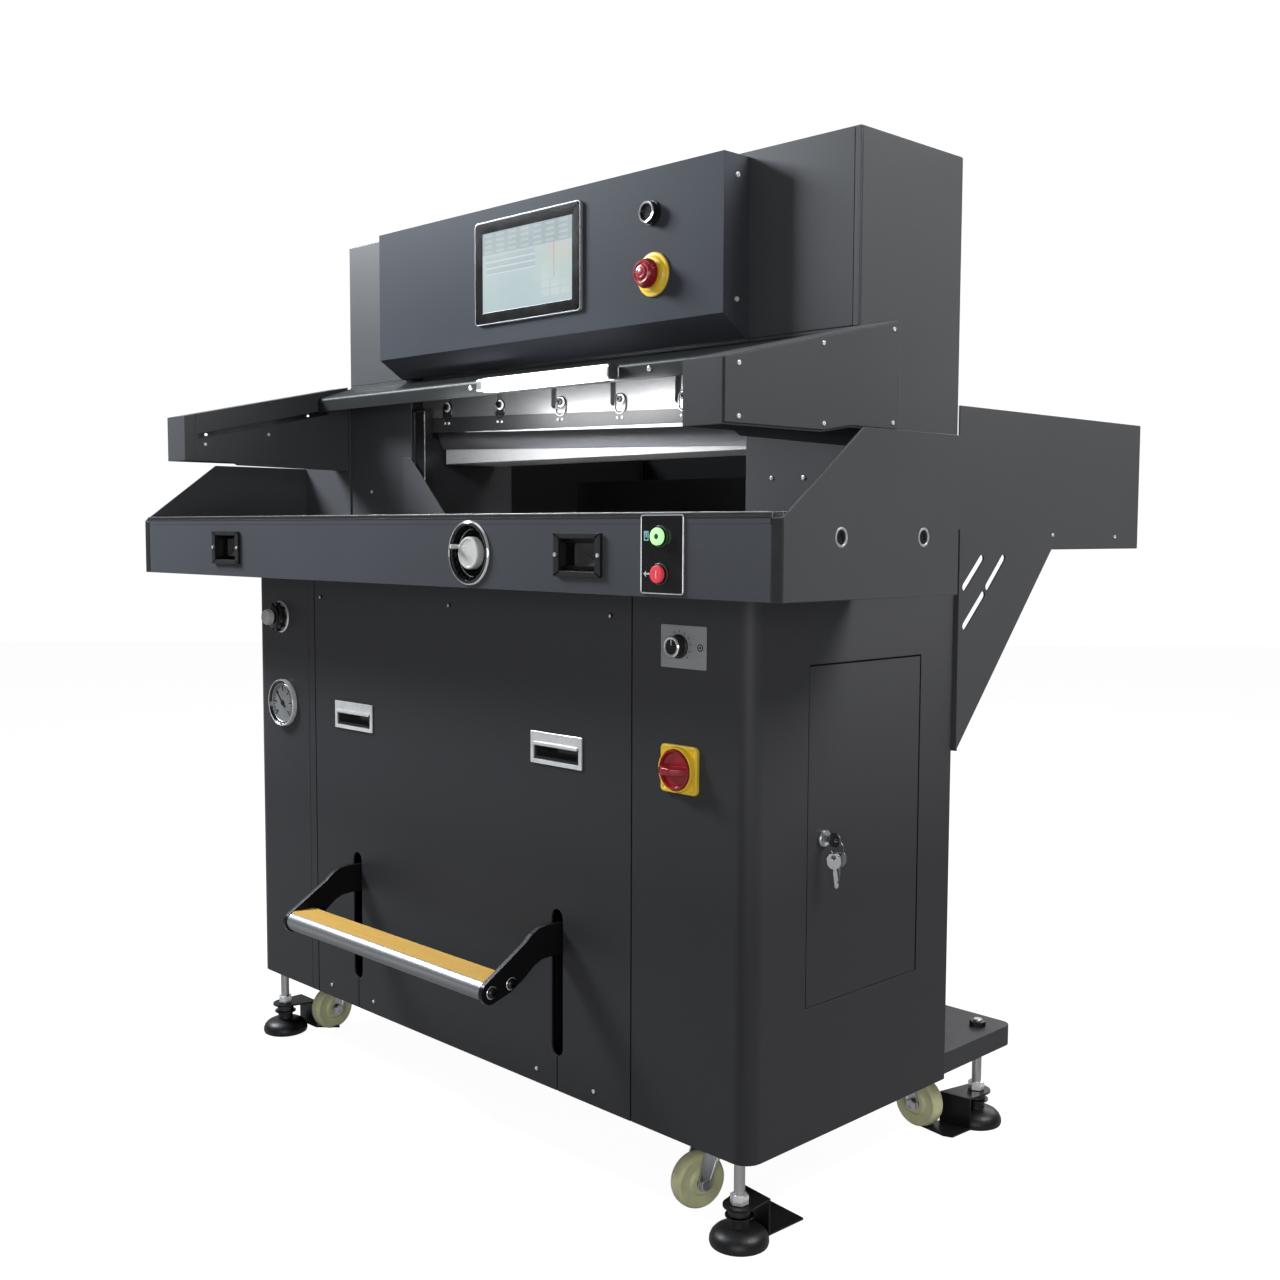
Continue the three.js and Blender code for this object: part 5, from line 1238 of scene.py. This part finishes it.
# Head: the emergency stop, the button above it, and the groove down each side.
stopButton = {
    "spot": (256, boxFront, 1229), "steps": 64, "grooves": 16, "grooveRadius": 0.8,
    "groove": ((20.6, -11, 0), (17.6, -26, 0)),
    "collar": [
        (8.4, 0.3), (29.6, 0.3), (30, 1), (30, 2.6), (28.6, 3.8), (26, 4), (24.6, 4.6), (22.4, 7.2),
        (19, 7.6), (8.4, 7.6), (8.4, 0.3),
    ],
    "cap": [
        (0, -18), (8, -18), (8, 12), (18.6, 12), (20, 13), (20, 16), (19, 18), (17.8, 22),
        (16.4, 24.4), (14.2, 25.8), (12.6, 25.6), (11.6, 24.6), (10.4, 24.6), (9.4, 26.2),
        (7, 26.8), (5.4, 26.4), (4.6, 26.8), (0, 27),
    ],
}
spot, steps = stopButton["spot"], stopButton["steps"]
node = ["estop_collar"]
fitRound("stopCollar", spot, stopButton["collar"], steps, "machine", "yellowPlastic", node)
mushroom = addTurned("stopMushroom", stopButton["cap"], spot, forward, steps)
groove = addRod("groove", *stopButton["groove"], stopButton["grooveRadius"], 8)
cutAway(mushroom, joinPieces("grooves", *ringOf(groove, spot, spread(stopButton["grooves"]))))
fit(smoothPiece(mushroom, roundAngle), "estop", "redPlastic", ["estop_button"])
headButton = {
    "spot": (252, boxFront, 1312), "steps": 48,
    "seat": [(15.3, 0.3), (16.9, 0.3), (17.1, 1), (16.6, 3.2), (15.3, 3.2), (15.3, 0.3)],
    "cap": [
        (0, -18), (8, -18), (8, 3.6), (14.4, 3.6), (15, 4.4), (14.4, 11.6), (12.4, 12.4),
        (11.2, 11.4), (10.8, 9.4), (0, 9),
    ],
    "ring": [(11.6, 11.2), (14.2, 11.2), (14.5, 12.2), (13.4, 13.2), (11.8, 12.8), (11.6, 11.2)],
}
spot, steps = headButton["spot"], headButton["steps"]
fitRound("headButtonSeat", spot, headButton["seat"], steps, "machine", "blackPlastic")
node = ["head_button"]
fitRound("headButtonCap", spot, headButton["cap"], steps, "head_push", "glossPlastic", node)
fitRound("headButtonRing", spot, headButton["ring"], steps, "head_push", "chrome")
headGroove = ((555.4, 194, 1130), (556.8, 197.4, 1378.5))
grooves = [addBlock("groove", *mirrored(sign, headGroove)) for sign in (1, -1)]
smoothPiece(cutAway(dressed["head_cover"], *grooves))
print("head dressed")

# Knife: a dark lower band on the bright bar, a thin bright strip along the band's foot as a painted
# highlight, and a bolt in each slot.
knifeLook = {
    "tilt": 1.64, "pivot": (0, 0, 1165), "face": 214.8, "bolts": [-300, -160, -12, 121, 252],
    "boltHigh": 1077, "band": [(-371, 1035), (371, 1040.4), (371, 1060), (-371, 1060)],
    "shine": [(-250, 1034.4), (371, 1034.2), (371, 1040.2), (-250, 1035.2)],
    "lining": ((-12, 212.6, 1055), (12, 214.9, 1086)), "round": 11.4, "head": 5.4,
    "headBack": 216, "headFront": 209.6, "washerBack": 214.2,
    "washer": [(4.2, 0), (8.4, 0), (8.4, 1.2), (7.8, 1.6), (4.2, 1.6), (4.2, 0)],
    "stud": 2.0, "studs": (-4, 6), "studHigh": 1050, "studBack": 214, "studFront": 211.6,
}


def fitKnife(piece, finish):
    # Leans a piece with the knife's bar before it is fitted.
    pivot = at(*knifeLook["pivot"])
    turn = Matrix.Rotation(math.radians(knifeLook["tilt"]), 4, "Y")
    leaning = move(piece, Matrix.Translation(pivot) @ turn @ Matrix.Translation(-pivot))
    return fit(smoothPiece(leaning), "knife", finish)


for name, line, thick, width, finish in (
    ("knifeBand", "band", 1.5, 0.4, "bandSteel"),
    ("knifeShine", "shine", 1.1, 0.15, "clampSteel"),
):
    outline = [(x, knifeLook["face"], z) for x, z in knifeLook[line]]
    fitKnife(bevelPiece(addPlate(name, outline, (0, -thick, 0)), width), finish)
high, spots = knifeLook["boltHigh"], [(x, 0, 0) for x in knifeLook["bolts"]]
lining = bevelAlong(addBlock("lining", *knifeLook["lining"]), "y", knifeLook["round"], 6)
bevelPiece(insetFaces(lining, forward, (1.8, 0), (0.4, -1.4)), 0.3, 1)
spot = (0, knifeLook["washerBack"], high)
washer = addTurned("washer", knifeLook["washer"], spot, forward, 24)
back, front = (0, knifeLook["headBack"], high), (0, knifeLook["headFront"], high)
head = addRod("head", back, front, knifeLook["head"], 24)
insetFaces(head, forward, (0.6, 0.5), (2.2, 0), (0.1, -2.4))
low = knifeLook["studHigh"]
back, front = (0, knifeLook["studBack"], low), (0, knifeLook["studFront"], low)
stud = insetFaces(addRod("stud", back, front, knifeLook["stud"], 6), forward, (0.5, 0.4))
linings, washers, heads = [copiesOf(piece, spots) for piece in (lining, washer, head)]
steps = knifeLook["studs"]
studs = copiesOf(stud, [(x + step, 0, 0) for x in knifeLook["bolts"] for step in steps])
fitKnife(joinPieces("slotLinings", *linings), "glossPlastic")
fitKnife(joinPieces("slotWashers", *washers, *studs), "screwSteel")
fitKnife(joinPieces("slotBolts", *heads), "blackBolt")

# Left end of the throat: the knife's guide on the column and the fence plate on the table.
throatLook = {
    "fence": [
        (-402, 900.4), (-402, 1004), (-388, 1004), (-380, 1001), (-360, 982.5), (-282, 903),
        (-280, 900.4),
    ],
    "fenceFront": 193, "fenceThick": 2.6, "guide": ((-380, 196.4, 901), (-344, 213.2, 1086)),
    "edge": ((-344.6, 195.9, 903), (-343.4, 197.2, 1080)),
}
fenceLine = [(x, throatLook["fenceFront"], z) for x, z in throatLook["fence"]]
fence = addPlate("tableFence", fenceLine, (0, throatLook["fenceThick"], 0))
fit(edged(fence, 0.7), "machine", "graphite")
guide = addBlock("knifeGuide", *throatLook["guide"])
fit(edged(insetFaces(guide, forward, (5, 0), (0.6, -3)), 0.8), "machine", "glossCoat")
guideEdge = addBlock("guideEdge", *throatLook["edge"])
fit(bevelPiece(guideEdge, 0.3), "machine", "zinc")
# Near-black sheets inside the rear guard as painted shade, and a sheet over the joint between the
# head and each column.
for name, finish, blocks in (
    ("guardLiners", "linerCoat", (
        ((-566.4, 424, 902), (-565.6, 934, 1048)),
        ((565.6, 424, 902), (566.4, 934, 1048)),
        ((-565, 934.6, 902), (565, 935.6, 1048)),
    )),
    ("sideSheets", "graphite", (
        ((566.15, 198.8, 905), (566.65, 419.4, 1379)),
        ((-566.15, 198.8, 905), (-566.65, 419.4, 1379)),
    )),
):
    sheets = [bevelPiece(addBlock("sheet", low, high), 0.2, 1) for low, high in blocks]
    fit(joinPieces(name, *sheets), "machine", finish)

# Work lamp: a lit cover between two metal end caps, and the rule on the table.
lampLook = {
    "across": (-88.5, 204.5), "low": (107.7, 1089), "high": (129.7, 1110), "caps": (13, 5),
    "lap": 0.4, "rule": ((-180, 60, 900.2), (60, 84, 903)),
}
(start, end), (leftCap, rightCap) = lampLook["across"], lampLook["caps"]
low, high = (start + leftCap, *lampLook["low"]), (end - rightCap, *lampLook["high"])
cover = bevelAlong(addBlock("lampCover", low, high), "x", 5, 4)
cover = smoothPiece(insetFaces(cover, forward, (1.5, 0), (0.5, -0.4)))
fit(cover, "machine", "lampGlow", ["work_lamp"])
caps, lap = [], lampLook["lap"]
for first, last, way in ((start, start + leftCap - lap, -1), (end - rightCap + lap, end, 1)):
    cap = addBlock("lampCap", (first, *lampLook["low"]), (last, *lampLook["high"]))
    insetFaces(bevelAlong(cap, "x", 5, 4), (way, 0, 0), (2, 0), (0.5, -0.8))
    caps.append(bevelPiece(cap, 0.4))
fit(smoothPiece(joinPieces("lampCaps", *caps)), "machine", "zinc")
rule = addBlock("tableRule", *lampLook["rule"])
fit(edged(insetFaces(rule, upward, (1, 0), (0.5, -0.4)), 0.4), "machine", "brushed")
print("knife and throat dressed")

# Side door: lock, key and two spare keys on a ring.
lockLook = {
    "spot": (566, 138, 497), "thick": 2.2, "hole": 2.6, "holeHigh": 15, "twist": 35,
    "slot": ((566, 137.2, 492), (574, 138.8, 502)), "bowHole": (588, 497),
    "ring": (588, 138.2, 487.4),
    "barrel": [
        (0, -22), (9, -22), (9, 0.3), (10.8, 0.3), (11, 1), (11, 3), (9.8, 4.8), (7.4, 5),
        (6.8, 3.6), (0, 3.4),
    ],
    "bow": [
        (569, 493.5), (575, 493.5), (579, 488.5), (588, 488), (593, 492), (593, 502), (588, 506),
        (579, 505.5), (575, 500.5), (569, 500.5),
    ],
    "spares": ((590, 141, 463, -26, 6), (586, 134, 461, -22, -9)),
}
barrel = addTurned("lockBarrel", lockLook["barrel"], lockLook["spot"], rightward, 40)
cutAway(barrel, addBlock("keySlot", *lockLook["slot"]))
fit(smoothPiece(barrel, roundAngle), "lock", "zinc", ["door_lock"])


def keyOutline(low):
    # A key seen flat in x and z, its bow above, its blade down to low.
    bow = [(-2, 0), (-6, 2), (-9, 7), (-9, 15), (-5, 20), (5, 20), (9, 15), (9, 7), (6, 2), (2, 0)]
    blade = [(3, low + 8), (1.4, low + 6), (3, low + 4), (2, low), (-1, low - 2), (-3, low)]
    return bow + [(3, -3)] + blade + [(-3, -3)]


thick = (0, lockLook["thick"], 0)
bow = addPlate("keyBow", [(x, 137, z) for x, z in lockLook["bow"]], thick)
x, z = lockLook["bowHole"]
cutAway(bow, addRod("hole", (x, 130, z), (x, 146, z), lockLook["hole"], 16))
hanging = []
for x, y, z, low, lean in lockLook["spares"]:
    key = addPlate("key", [(x + a, y, z + b) for a, b in keyOutline(low)], thick)
    high = z + lockLook["holeHigh"]
    cutAway(key, addRod("hole", (x, y - 6, high), (x, y + 8, high), lockLook["hole"], 16))
    pivot = at(x, y, high)
    swing = Matrix.Translation(pivot) @ Matrix.Rotation(math.radians(lean), 4, "Y")
    twist = Matrix.Rotation(math.radians(lockLook["twist"]), 4, "Z")
    move(key, swing @ twist @ Matrix.Translation(-pivot))
    hanging.append(bevelPiece(key, 0.4, 1))
ring = addTurned("keyRing", curve((10, 0), 0.7, 0, 360, 8), lockLook["ring"], (0, 1, 0))
keyring = joinPieces("doorKeys", bevelPiece(bow, 0.4, 1), *hanging, ring)
fit(smoothPiece(keyring, roundAngle), "lock", "keySteel")

# Pedal: two black plate arms, a bright pipe, a ribbed tread and its bolts.
pedalLook = {
    "arms": (-263, 220), "half": 4, "pipe": (-118, 277), "tie": (-85, 282), "ribs": 11,
    "pitch": 3.45, "tieRadius": 6.6, "shaft": ((-430.5, 330, 325), (430.5, 330, 325)),
    "shaftRadius": 12,
}
armLine = (
    [(356, 301), (356, 349)]
    + [(30, 347), (0, 347), (-18, 348.5), (-34, 347), (-48, 340), (-60, 330)]
    + curve((-118, 276), 16, 128, 300)
    + [(-84, 270), (-62, 283), (-44, 297), (-30, 303), (-10, 304), (20, 303)]
)
(leftArm, rightArm), half = pedalLook["arms"], pedalLook["half"]
shaft = addRod("pedalShaft", *pedalLook["shaft"], pedalLook["shaftRadius"], 40)
arm = bevelPiece(addPlate("arm", [(-half, y, z) for y, z in armLine], (2 * half, 0, 0)), 0.9)
arms = copiesOf(arm, [(x, 0, 0) for x in pedalLook["arms"]])
arms = smoothPiece(joinPieces("pedalArms", bevelPiece(shaft, 1), *arms))
fit(arms, "pedal", "glossCoat", ["pedal_frame"])
start, end = leftArm + half + 0.3, rightArm - half - 0.3
span = end - start
pipeLine = [(0, 0), (13.2, 0), (14, 0.8), (14, span - 0.8), (13.2, span), (0, span)]
pipe = addTurned("pedalPipe", pipeLine, (start, *pedalLook["pipe"]), rightward, 48)
low, high = (start, *pedalLook["tie"]), (end, *pedalLook["tie"])
tie = addRod("pedalTie", low, high, pedalLook["tieRadius"], 24)
pipe = smoothPiece(joinPieces("pedalPipe", pipe, tie), roundAngle)
fit(pipe, "pedal", "pipeSteel", ["pedal_bar"])
treadLine = [(-123.2, 288.6), (-122.8, 290.2)]
for index in range(pedalLook["ribs"]):
    y = -121.6 + index * pedalLook["pitch"]
    treadLine += [(y, 291.6), (y + 0.7, 292.5), (y + 2.3, 292.5), (y + 3.0, 291.6)]
treadLine += [(-82.8, 291.6), (-82, 290.4), (-82, 288.9), (-118, 288.9)]
tread = addPlate("pedalTread", [(start + 0.5, y, z) for y, z in treadLine], (span - 1, 0, 0))
fit(edged(tread, 0.2, 1), "pedal", "treadOchre")
headLine = [
    (0, 0), (8.6, 0), (8.6, 1), (7.4, 1.4), (7.2, 4), (5.6, 5.4), (3.4, 5.8), (3, 3.6), (0, 3.6),
]
ringLine = [(7.5, 1.2), (8.5, 1.0), (8.7, 1.5), (8.2, 2), (7.6, 1.9), (7.5, 1.2)]
masters["bolt"] = addTurned("boltHead", headLine, (0, 0, 0))
masters["ring"] = addTurned("boltRing", ringLine, (0, 0, 0))
for name, master, finish in (("pedalBolts", "bolt", "blackBolt"), ("boltRings", "ring", "chrome")):
    for side, x, degrees in (("Right", rightArm + half, 90), ("Left", leftArm - half, -90)):
        spots = [(x, *pedalLook["pipe"]), (x, *pedalLook["tie"])]
        scatter(name + side, master, spots, degrees, finish, "pedal")
discard(*masters.values())
print("pedal made")

# Casters: cream wheels with a rounded tread in zinc forks with a bolt through. Each place is x, y
# and the heading that the caster is turned to.
casterPlaces = {
    "front_left": (-490, 123, 0), "front_right": (437, 88, -15),
    "rear_left": (-450, 486, -90), "rear_right": (450, 486, 90),
}
casterLook = {
    "axle": (0, -30, 37.5), "axleReach": 21.6, "axleRadius": 5.8, "round": 10.5,
    "cheek": 15.6, "cheekThick": 2.8, "nut": (18.2, 23.4), "nutRadius": 9,
    "crown": ((-18.4, -22, 97.6), (18.4, 18, 101.6)),
    "topPlate": ((-34, -34, 113.7), (34, 34, 116.7)), "corner": 6,
    "bolt": ((0, 0, 114), (0, 0, 109.4)), "boltRadius": 6, "boltSpots": (-25, 25),
}
axle = casterLook["axle"]
halfWheel = [
    (36.6, 5.6), (35, 9.6), (32.5, 11.8), (29, 11.6), (26, 10.4), (18.5, 10.6), (17, 12.4),
    (15, 14), (6.4, 14),
]
wheelLine = [(r, -a) for r, a in reversed(halfWheel)] + [(37, 0)] + halfWheel + [(6.4, -14)]
sleeveLine = [(6.3, -15.2), (9.4, -15.2), (9.4, 15.2), (6.3, 15.2), (6.3, -15.2)]
cheekLine = (
    curve(axle[1:], casterLook["round"], 190, 350)
    + [(-10, 62), (8, 84), (17, 93), (18, 101)]
    + [(-22, 101), (-24, 92), (-33, 66)]
)
raceLine = [
    (0, 101), (16, 101), (18, 102.5), (18.4, 107), (17, 110.5), (19.6, 112), (19.6, 114.2),
    (0, 114.2),
]
wheel = addTurned("wheelMaster", wheelLine, axle, rightward, 48)
sleeve = addTurned("sleeve", sleeveLine, axle, rightward, 24)
cheeks, nuts = [], []
for sign in (1, -1):
    line = [(sign * casterLook["cheek"], y, z) for y, z in cheekLine]
    cheek = addPlate("cheek", line, (sign * casterLook["cheekThick"], 0, 0))
    cheeks.append(bevelPiece(insetFaces(cheek, (sign, 0, 0), (3.2, 0), (1.2, -0.9)), 0.5))
    start, end = [(sign * x, *axle[1:]) for x in casterLook["nut"]]
    nut = addRod("nut", start, end, casterLook["nutRadius"], 6)
    nuts.append(insetFaces(nut, (sign, 0, 0), (1.0, 0.6), (2.4, 0), (0.2, -0.8)))
crown = bevelAlong(addBlock("crown", *casterLook["crown"]), "z", casterLook["corner"], 4)
race = addTurned("race", raceLine, (0, 0, 0), upward, 40)
topPlate = bevelAlong(addBlock("topPlate", *casterLook["topPlate"]), "z", casterLook["corner"], 4)
start, end = [(sign * casterLook["axleReach"], *axle[1:]) for sign in (-1, 1)]
through = addRod("axle", start, end, casterLook["axleRadius"], 24)
bolt = addRod("plateBolt", *casterLook["bolt"], casterLook["boltRadius"], 6)
insetFaces(bolt, downward, (0.8, 0.5))
across = casterLook["boltSpots"]
bolts = copiesOf(bolt, [(x, y, 0) for x in across for y in across])
rest = [bevelPiece(crown, 0.8), race, bevelPiece(topPlate, 0.6), bevelPiece(through, 0.6)]
fork = joinPieces("forkMaster", *cheeks, *rest, *nuts, *bolts)
for place, (x, y, heading) in casterPlaces.items():
    for name, master, body, node, finish, angle in (
        ("casterWheel_", wheel, "wheel_", "caster_wheel_", "nylon", 35),
        ("casterFork_", fork, "fork_", "caster_fork_", "zinc", 25),
        ("casterSleeve_", sleeve, "wheel_", None, "blackPlastic", 25),
    ):
        copy = placeCopy(master, name + place, about((x, y, 0), heading, "Z"))
        fit(smoothPiece(copy, angle), body + place, finish, [node + place] if node else ())
discard(wheel, fork, sleeve)

# Levelling feet: a domed pad, a threaded rod, a collar and two nuts. Each place is x and y.
footPlaces = {
    "front_left": (-532, 25), "front_right": (532, 25),
    "rear_left": (-532, 557), "rear_right": (532, 557),
}
footLook = {
    "rod": ((0, 0, 34), (0, 0, 157)), "rodRadius": 7, "nutRadius": 11.8, "nutEdge": (1.4, 0.7),
    "lowNut": (52, 63), "topNut": (147.4, 154.4),
}
padLine = [
    (0, 0), (34, 0), (36.6, 1.4), (37.5, 4.6), (37.2, 9), (35, 14.2), (31, 18.4), (25, 21.6),
    (17, 23.6), (13, 24.4), (12.4, 26), (12.4, 33.4), (11, 35), (0, 35),
]
collarLine = [
    (7.2, 35.4), (17.6, 35.4), (18, 36), (18, 37.4), (14, 38.2), (13.6, 46), (7.2, 46.4),
    (7.2, 35.4),
]


def footNut(part):
    low, high = footLook[part]
    nut = addRod("footNut", (0, 0, low), (0, 0, high), footLook["nutRadius"], 6)
    return insetFaces(insetFaces(nut, upward, footLook["nutEdge"]), downward, footLook["nutEdge"])


footRod = insetFaces(addRod("footRod", *footLook["rod"], footLook["rodRadius"]), upward, (1.2, 1))
footParts = {
    "footPad_": (addTurned("footPad", padLine, (0, 0, 0), upward, 48), roundAngle, "rubber"),
    "footRod_": (footRod, 30, "threadSteel"),
    "footWasher_": (addTurned("collar", collarLine, (0, 0, 0), upward), roundAngle, "blackBolt"),
    "footNut_": (footNut("lowNut"), 30, "chrome"),
    "footTopNut_": (footNut("topNut"), 30, "blackBolt"),
}
for place, (x, y) in footPlaces.items():
    for name, (master, angle, finish) in footParts.items():
        copy = placeCopy(master, name + place, about((x, y, 0), 0))
        stands = ["foot_" + place] if name == "footPad_" else ()
        fit(smoothPiece(copy, angle), "pad_" + place, finish, stands)
discard(*[master for master, _, _ in footParts.values()])

# Wheel stops: the two ends of the bend line, and the tab's outline on the floor.
stopLook = {
    "plate": 3, "high": 48, "low": 3.2, "round": 21, "hole": 8,
    "front_right": (((501, 66), (550, 60)), [(553, 125), (503, 130), (476, 133)]),
    "front_left": (((-500, 66), (-552, 66)), [(-556, 96), (-500, 104), (-470, 96)]),
    "rear_right": (((500, 512), (548, 518)), [(545, 476), (532, 471), (483, 478)]),
    "rear_left": (((-500, 516), (-550, 516)), [(-548, 478), (-490, 478)]),
}


def flat(point, z=0):
    return Vector((*point, z))


for place in ("front_right", "front_left", "rear_right", "rear_left"):
    # A round plate on the rod, an arm to the bend line, a drop, and a tab on the floor.
    name, rod, (bend, tab) = "wheelStop_" + place, footPlaces[place], stopLook[place]
    high, low, thick = stopLook["high"], stopLook["low"], stopLook["plate"]
    first, second = flat(bend[0]), flat(bend[1])
    along = (second - first).normalized()
    out = Vector((along.y, -along.x, 0))
    if out.dot(flat(tab[0]) - first) < 0:
        out = -out
    inward = flat(rod) - (first + second) / 2
    angle = math.degrees(math.atan2(inward.y, inward.x))
    rounded = curve(rod, stopLook["round"], angle - 100, angle + 100, 12)
    near = sorted((first, second), key=lambda point: (flat(rounded[-1]) - point).length)
    upperLine = rounded + [point[:2] for point in near]
    upper = addPlate(name + "Upper", [(*point, high) for point in upperLine], (0, 0, thick))
    ends, heights = (first, first, second, second), (low, high + thick, high + thick, low)
    webLine = [(*point[:2], height) for point, height in zip(ends, heights)]
    web = addPlate(name + "Web", webLine, tuple(out * thick))
    tabLine = [(*point, low) for point in [first[:2], second[:2], *tab]]
    floorTab = addPlate(name + "Tab", tabLine, (0, 0, thick))
    cutAway(upper, addRod("hole", (*rod, high - 5), (*rod, high + thick + 5), stopLook["hole"], 24))
    whole = joinPieces(name, *[bevelPiece(piece, 0.4) for piece in (upper, web, floorTab)])
    fit(smoothPiece(whole), "machine", "glossCoat")
print("casters and feet made")

# Studio: a pale floor, a backdrop, soft lamps and the camera.
studio = {
    "floorSize": 30, "backdrop": 9, "floorShade": 0.12, "whiteLift": 0.965, "glossLift": 0.36,
    "world": 0.16,
}
# Each lamp: place, aim, size, watts, tint.
lamps = {
    "key": ((-1.9, -1.3, 2.3), (-0.1, -0.3, 1.0), (0.9, 0.7), 138, (0.9, 0.95, 1.0)),
    "side": ((2.0, 0.6, 2.5), (0.5, 0, 0.9), (1.2, 1.0), 74, (1.0, 0.99, 0.98)),
    "fill": ((2.4, -2.7, 0.95), (0, 0, 0.8), (2.2, 1.2), 34, (1.0, 1.0, 1.0)),
    "work": ((-0.02, -0.31, 1.07), (-0.02, -0.13, 0.99), (0.34, 0.02), 0.95, (1.0, 1.0, 1.0)),
    "glare": ((0.2, -0.27, 1.08), (0.21, -0.17, 1.06), (0.2, 0.02), 0.12, (1.0, 1.0, 1.0)),
    "top": ((0, 0, 4.2), (0, 0, 0), (3.0, 3.0), 30, (1.0, 1.0, 1.0)),
    "back": ((-0.5, 4.2, 2.6), (0, 0, 0.8), (3.0, 2.0), 60, (1.0, 1.0, 1.0)),
}
white = (1, 1, 1)


def seenDirectly(paint):
    # 1 for the camera's rays and those through glass, 0 for the rest.
    rays = ("Is Camera Ray", "Is Transmission Ray")
    seen, through = [paint.node("ShaderNodeLightPath", output=ray) for ray in rays]
    return seen.sum("MAXIMUM", seen, through)


def makePaper(name, lift):
    # Pale paper that the camera, mirrors and glass see as white, while it throws little light back.
    paper = Paint(name)
    patches = paper.patches(paper.spot(), 900)
    deep = studio["floorShade"]
    shade = paper.blend(patches, tone(white, deep), tone(white, deep * 1.04))
    diffuse = paper.node("ShaderNodeBsdfDiffuse", inputs={"Color": shade})
    share = seenDirectly(paper)
    mirrored = paper.node("ShaderNodeLightPath", output="Is Glossy Ray")
    share = share.sum("MAXIMUM", share, mirrored * studio["glossLift"])
    glow = paper.node("ShaderNodeEmission", inputs={"Color": tone(white), "Strength": share * lift})
    both = paper.node("ShaderNodeAddShader", inputs=[diffuse, glow])
    paper.node("ShaderNodeOutputMaterial", inputs={"Surface": both})
    return paper.material


reach = studio["backdrop"] * 0.7
stage = []
for name, place, turn, lift in (
    ("floor", (0, 0, 0), (0, 0, 0), studio["whiteLift"]),
    ("backdrop", (-reach, reach, 0), (math.pi / 2, 0, math.radians(45)), 1.0),
):
    deselectAll()
    bpy.ops.mesh.primitive_plane_add(size=studio["floorSize"], location=place, rotation=turn)
    stage.append(settle(name))
    stage[-1].data.materials.append(makePaper(name + "Paper", lift))

sky = Paint("studio", world=bpy.data.worlds.new("studio"))
strength = sky.stretch(seenDirectly(sky), 0, 1, studio["world"], 1.0)
shade = sky.node("ShaderNodeBackground", inputs={"Color": tone(white), "Strength": strength})
sky.node("ShaderNodeOutputWorld", inputs={"Surface": shade})
scene = bpy.context.scene
scene.world = sky.material

for name, (place, aim, size, power, tint) in lamps.items():
    light = bpy.data.lights.new(name, "AREA")
    light.shape = "RECTANGLE"
    light.size, light.size_y = size
    light.energy = power
    light.color = tint
    lamp = bpy.data.objects.new(name, light)
    scene.collection.objects.link(lamp)
    lamp.location = place
    lamp.visible_camera = False
    lamp.rotation_euler = (Vector(aim) - Vector(place)).to_track_quat("-Z", "Y").to_euler()

cameraLook = {
    "place": (1.675715, -1.674457, 0.878592), "yaw": 45.437, "pitch": 4.297, "roll": 0.2205,
    "lens": 40.649,
}
eye = bpy.data.cameras.new("camera")
eye.sensor_width = 36
eye.lens = cameraLook["lens"]
camera = bpy.data.objects.new("camera", eye)
scene.collection.objects.link(camera)
yaw = Matrix.Rotation(math.radians(cameraLook["yaw"]), 4, "Z")
tilt = Matrix.Rotation(math.radians(90 - cameraLook["pitch"]), 4, "X")
roll = Matrix.Rotation(math.radians(cameraLook["roll"]), 4, "Z")
camera.matrix_world = Matrix.Translation(cameraLook["place"]) @ yaw @ tilt @ roll
scene.camera = camera
scene.view_settings.view_transform = "Standard"
print("studio set")
